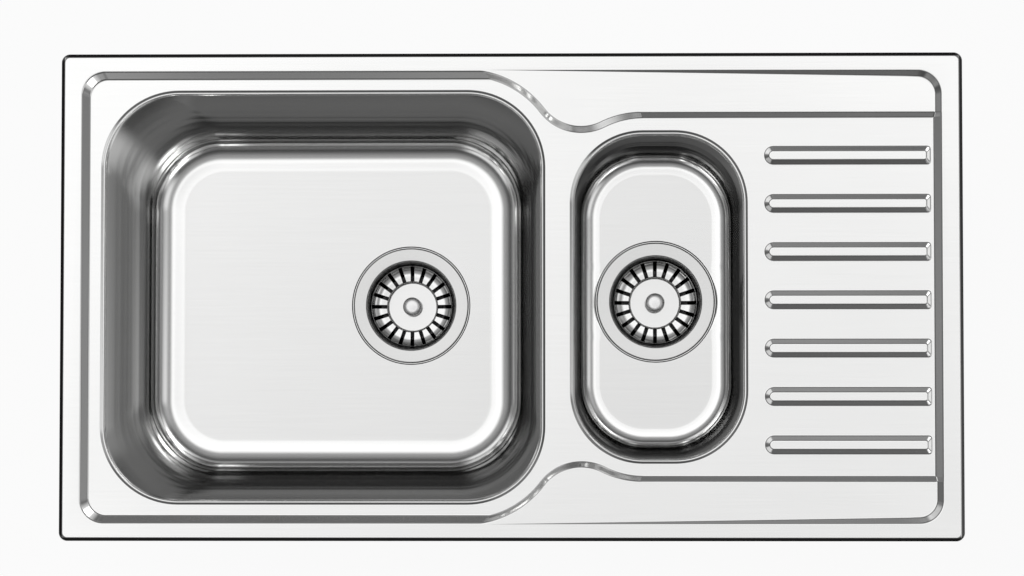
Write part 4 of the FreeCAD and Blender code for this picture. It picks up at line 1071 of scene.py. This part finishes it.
# %% Directions in the room
NOT_ZERO = 0.0001
studio = bpy.data.worlds.new("studio")
scene.world = studio
sky = Graph(studio)
way = sky.node("ShaderNodeTexCoord", out="Generated")
to_right, to_back, to_top = sky.parts(way)


def degrees_off(cosine):
    """The angle in degrees that has this cosine."""
    return 180 / math.pi * sky.node("ShaderNodeMath", {"operation": "ARCCOSINE"}, {0: cosine})


tilt = degrees_off(to_top)
flat_length = to_right * to_right + to_back * to_back + NOT_ZERO
heading = to_right / flat_length ** 0.5
diagonal = abs(2 * to_right * to_back) / flat_length
print("directions take", len(sky.tree.nodes), "nodes")

# %% [markdown]
# ## Ceiling
# Level steel mirrors what is straight above it, so a white ceiling gives the deck and the floors their
# tone, and the floor radii their white bands. A flat panel could be hung there, but its edge would be
# the same all round. This one hangs a little to the left and the back, fades into a halo, and is dimmer
# in the middle, most of all towards the right and the front.

# %% Ceiling
CEILING_LEFT, CEILING_BACK, CEILING_LEVEL = 0.05, 0.05, 1.12
CEILING_EDGE, CEILING_SHARE, HALO_EDGE = (26, 18), 0.76, (52, 28)
MIDDLE_EDGE, MIDDLE_LEVEL = (14, 9), -0.22
MIDDLE_RIGHT, RIGHT_LIMIT = -0.5, 0.03
MIDDLE_BACK, FRONT_LIMIT = 0.8, -0.05
sideways = sky.node("ShaderNodeMath", {"operation": "MINIMUM"}, {0: to_right, 1: RIGHT_LIMIT})
backward = sky.node("ShaderNodeMath", {"operation": "MAXIMUM"}, {0: to_back, 1: FRONT_LIMIT})
middle_light = MIDDLE_LEVEL + MIDDLE_RIGHT * sideways + MIDDLE_BACK * backward
middle = sky.smooth(tilt, *MIDDLE_EDGE) * middle_light
ceiling_length = (1 + CEILING_LEFT ** 2 + CEILING_BACK ** 2) ** 0.5
from_ceiling = degrees_off((to_top - CEILING_LEFT * to_right + CEILING_BACK * to_back) / ceiling_length)
panel, halo = sky.smooth(from_ceiling, *CEILING_EDGE), sky.smooth(from_ceiling, *HALO_EDGE)
ceiling = (CEILING_SHARE * panel + (1 - CEILING_SHARE) * halo) * (CEILING_LEVEL + middle)
print("ceiling", CEILING_LEVEL, "fading from", CEILING_EDGE[1], "to", HALO_EDGE[0], "degrees")

# %% [markdown]
# ## Belt
# Steep walls mirror what stands round the room lower down. Furniture could be built for that. A grey
# belt with soft patches is enough: higher up behind the sink, lower and stronger in front of it.

# %% Belt
BELT_LEVEL, BELT_PATCHES = 0.12, 0.22
PATCH_SCALE, PATCH_STRETCH, PATCH_EDGE = 5.0, (1, 1, 2.5), (0.35, 0.65)
BACK_SHARE, BACK_EDGE = 0.3, (-0.3, 0.3)
BACK_TOP, BACK_FADE, FADE_SHARE = (55, 60), (64, 70), 0.6
FRONT_TOP, FRONT_GAIN = (66, 73), 1.4
patches = sky.smooth(sky.noise(way, PATCH_SCALE, PATCH_STRETCH), *PATCH_EDGE)
behind = BACK_SHARE + (1 - BACK_SHARE) * sky.smooth(to_back, *BACK_EDGE)
back_belt = sky.smooth(tilt, *BACK_TOP) * (1 - FADE_SHARE * sky.smooth(tilt, *BACK_FADE))
front_belt = FRONT_GAIN * sky.smooth(tilt, *FRONT_TOP)
belt = (BELT_LEVEL + BELT_PATCHES * patches) * (behind * back_belt + (1 - behind) * front_belt)
print("belt from", BACK_TOP[0], "degrees behind and", FRONT_TOP[0], "in front")

# %% [markdown]
# ## Windows and a door
# Round corners mirror the corners of the room, where the photograph's steel glints. Four wide windows
# stand there, with bright panes in the two on the right. A door on the right lifts the tone of the walls
# that face it. They could be lamps, but as parts of the room they keep their soft edges in every
# reflection.

# %% Windows and a door
SIDE_EDGE, RIGHT_LEVEL = (-0.2, 0.2), 0.55
LEFT_LEVEL, LEFT_GAIN, LEFT_FADE = 0.18, 0.5, (75, 64)
WINDOW_SIDES, WINDOW_TOP = (0.4, 0.85), (50, 60)
PANE_LEVEL, PANE_SIDES, PANE_TOP, PANE_FOOT = 3.0, (0.85, 1.0), (56, 66), (80, 70)
DOOR_LEVEL, DOOR_BACK_LEVEL, DOOR_BACK_EDGE = 0.7, 0.35, (0.1, 0.03)
DOOR_SIDES, DOOR_TOP, DOOR_FOOT = (0.75, 0.95), (26, 40), (62, 45)
on_right = sky.smooth(to_right, *SIDE_EDGE)
left_light = LEFT_LEVEL + LEFT_GAIN * sky.smooth(tilt, *LEFT_FADE)
window_light = RIGHT_LEVEL * on_right + (1 - on_right) * left_light
windows = window_light * sky.smooth(diagonal, *WINDOW_SIDES) * sky.smooth(tilt, *WINDOW_TOP)
pane_height = sky.smooth(tilt, *PANE_TOP) * sky.smooth(tilt, *PANE_FOOT)
panes = PANE_LEVEL * on_right * sky.smooth(diagonal, *PANE_SIDES) * pane_height
door_light = DOOR_BACK_LEVEL + (1 - DOOR_BACK_LEVEL) * sky.smooth(to_back, *DOOR_BACK_EDGE)
door_height = sky.smooth(tilt, *DOOR_TOP) * sky.smooth(tilt, *DOOR_FOOT)
door = DOOR_LEVEL * door_light * sky.smooth(heading, *DOOR_SIDES) * door_height
print("window panes", PANE_LEVEL, "door", DOOR_LEVEL)

# %% [markdown]
# ## The finished room
# The parts add up to one strength for every direction, over a little light that is everywhere. The
# backdrop could be a wall, but plain white is all that the picture needs: rays straight from the camera
# see white.

# %% Finished room
EVERYWHERE = 0.06
glow = EVERYWHERE + ceiling + belt + windows + panes + door
from_camera = sky.node("ShaderNodeLightPath", out="Is Camera Ray")
light = glow * (1 - from_camera) + from_camera
background = sky.node("ShaderNodeBackground", {}, {"Color": (1, 1, 1, 1), "Strength": light})
sky.node("ShaderNodeOutputWorld", {}, {"Surface": background})
print("room of", len(sky.tree.nodes), "nodes")

# %% [markdown]
# ## A lamp for the dull pieces
# Rubber and plastic need more light than the room gives. A brighter room could give it, but would bleach
# the steel. A large soft lamp high on the left lights the dull pieces instead, and is hidden from mirror
# rays so that the steel keeps its clean reflections.

# %% Lamp
LAMP_PLACE, LAMP_SIZE, LAMP_POWER = Vector((-1.1, 0.9, 2.3)), 2.2, 36
lamp_data = bpy.data.lights.new("soft_lamp", "AREA")
lamp_data.size = LAMP_SIZE
lamp_data.energy = LAMP_POWER
lamp = bpy.data.objects.new("soft_lamp", lamp_data)
scene.collection.objects.link(lamp)
lamp.location = LAMP_PLACE
lamp.rotation_euler = LAMP_PLACE.to_track_quat("Z", "Y").to_euler()
lamp.visible_glossy = False
lamp.visible_camera = False
print("lamp of", LAMP_POWER, "W,", round(LAMP_PLACE.length, 2), "m away")

# %% [markdown]
# ## Floor
# The sink stands clear on a plain pale floor. More light could whiten it, but would bleach the object
# too. So what the camera sees of the floor is mostly plain white, and a small share is an ordinary matt
# surface, which keeps the object's shadow. To every other ray the floor is matt.

# %% Floor
FLOOR_SIZE, FLOOR_GAP, FLOOR_WHITE = 8.0, 1 * MM, 0.93
FLOOR_TONES, FLOOR_CLOUD, FLOOR_ROUGH = (0.58, 0.62), 3.0, 0.9
floor_reach, floor_height = FLOOR_SIZE / 2, cad_low.z - FLOOR_GAP
floor_corners = ((-1, -1), (1, -1), (1, 1), (-1, 1))
floor_mesh = bpy.data.meshes.new("studio_floor")
floor_mesh.from_pydata(
    [(sx * floor_reach, sy * floor_reach, floor_height) for sx, sy in floor_corners], [], [(0, 1, 2, 3)]
)
floor = bpy.data.objects.new("studio_floor", floor_mesh)
scene.collection.objects.link(floor)


def floor_finish(graph, place):
    shown = graph.node("ShaderNodeLightPath", out="Is Camera Ray")
    dark, pale = ((tone, tone, tone) for tone in FLOOR_TONES)
    tint = graph.mix(graph.noise(place, FLOOR_CLOUD), dark, pale)
    matt = graph.node("ShaderNodeBsdfPrincipled", {}, {"Base Color": tint, "Roughness": FLOOR_ROUGH})
    white = graph.node("ShaderNodeEmission", {}, {"Color": (1, 1, 1, 1), "Strength": 1.0})
    return graph.node("ShaderNodeMixShader", {}, {0: FLOOR_WHITE * shown, 1: matt, 2: white})


floor_mesh.materials.append(material("pale_floor", floor_finish))

# %% [markdown]
# ## Camera
# The photograph looks almost straight down from a little to the right and to the front. The lens could
# be set by eye. Here it is solved from the length of the rim in the picture, and a small shift sets the
# rim's middle on its pixel, so that the two pictures can be laid over each other.

# %% Camera
IMAGE_WIDTH, IMAGE_HEIGHT = 1024, 576
RIM_PIXELS, RIM_MIDDLE = (60.3, 963.3), (511.9, 297.3)
CAMERA_PLACE, AIM = Vector((0.054, -0.135, 2.40)), Vector((0.016, -0.050, rim_top))
EDGE_DROP, LENS_ROUNDS = 2 * MM, 3
camera_data = bpy.data.cameras.new("photo_camera")
camera = bpy.data.objects.new("photo_camera", camera_data)
scene.collection.objects.link(camera)
scene.camera = camera
camera.location = CAMERA_PLACE
lens_back = (CAMERA_PLACE - AIM).normalized()
lens_right = Vector((0, 1, 0)).cross(lens_back).normalized()
camera.rotation_euler = Matrix((lens_right, lens_back.cross(lens_right), lens_back)).transposed().to_euler()
bpy.context.view_layer.update()


def pixel(point):
    """Where a point lands in the photograph's frame."""
    seen = camera.matrix_world.inverted() @ Vector(point)
    scale = camera_data.lens / camera_data.sensor_width / -seen.z
    across = IMAGE_WIDTH * (0.5 + scale * seen.x - camera_data.shift_x)
    down = IMAGE_HEIGHT / 2 - IMAGE_WIDTH * (scale * seen.y - camera_data.shift_y)
    return across, down


edge_height = rim_top - EDGE_DROP
corners = [(sx * half_length, sy * half_width, edge_height) for sx in (-1, 1) for sy in (-1, 1)]
for lens_round in range(LENS_ROUNDS):
    seen = [pixel(point) for point in corners]
    length = (seen[2][0] + seen[3][0] - seen[0][0] - seen[1][0]) / 2
    camera_data.lens *= (RIM_PIXELS[1] - RIM_PIXELS[0]) / length
    seen = [pixel(point) for point in corners]
    camera_data.shift_x += (sum(p[0] for p in seen) / 4 - RIM_MIDDLE[0]) / IMAGE_WIDTH
    camera_data.shift_y -= (sum(p[1] for p in seen) / 4 - RIM_MIDDLE[1]) / IMAGE_WIDTH
shift = (camera_data.shift_x, camera_data.shift_y)
print("lens", round(camera_data.lens, 1), "shift", [round(v, 4) for v in shift])
print("corners", [tuple(round(v, 1) for v in pixel(point)) for point in corners])

# %% [markdown]
# ## Finish
# The Standard view shows colours as they are written. A filmic view could soften the highlights, but
# would grey the white that the steel mirrors.

# %% Finish
scene.view_settings.view_transform = "Standard"
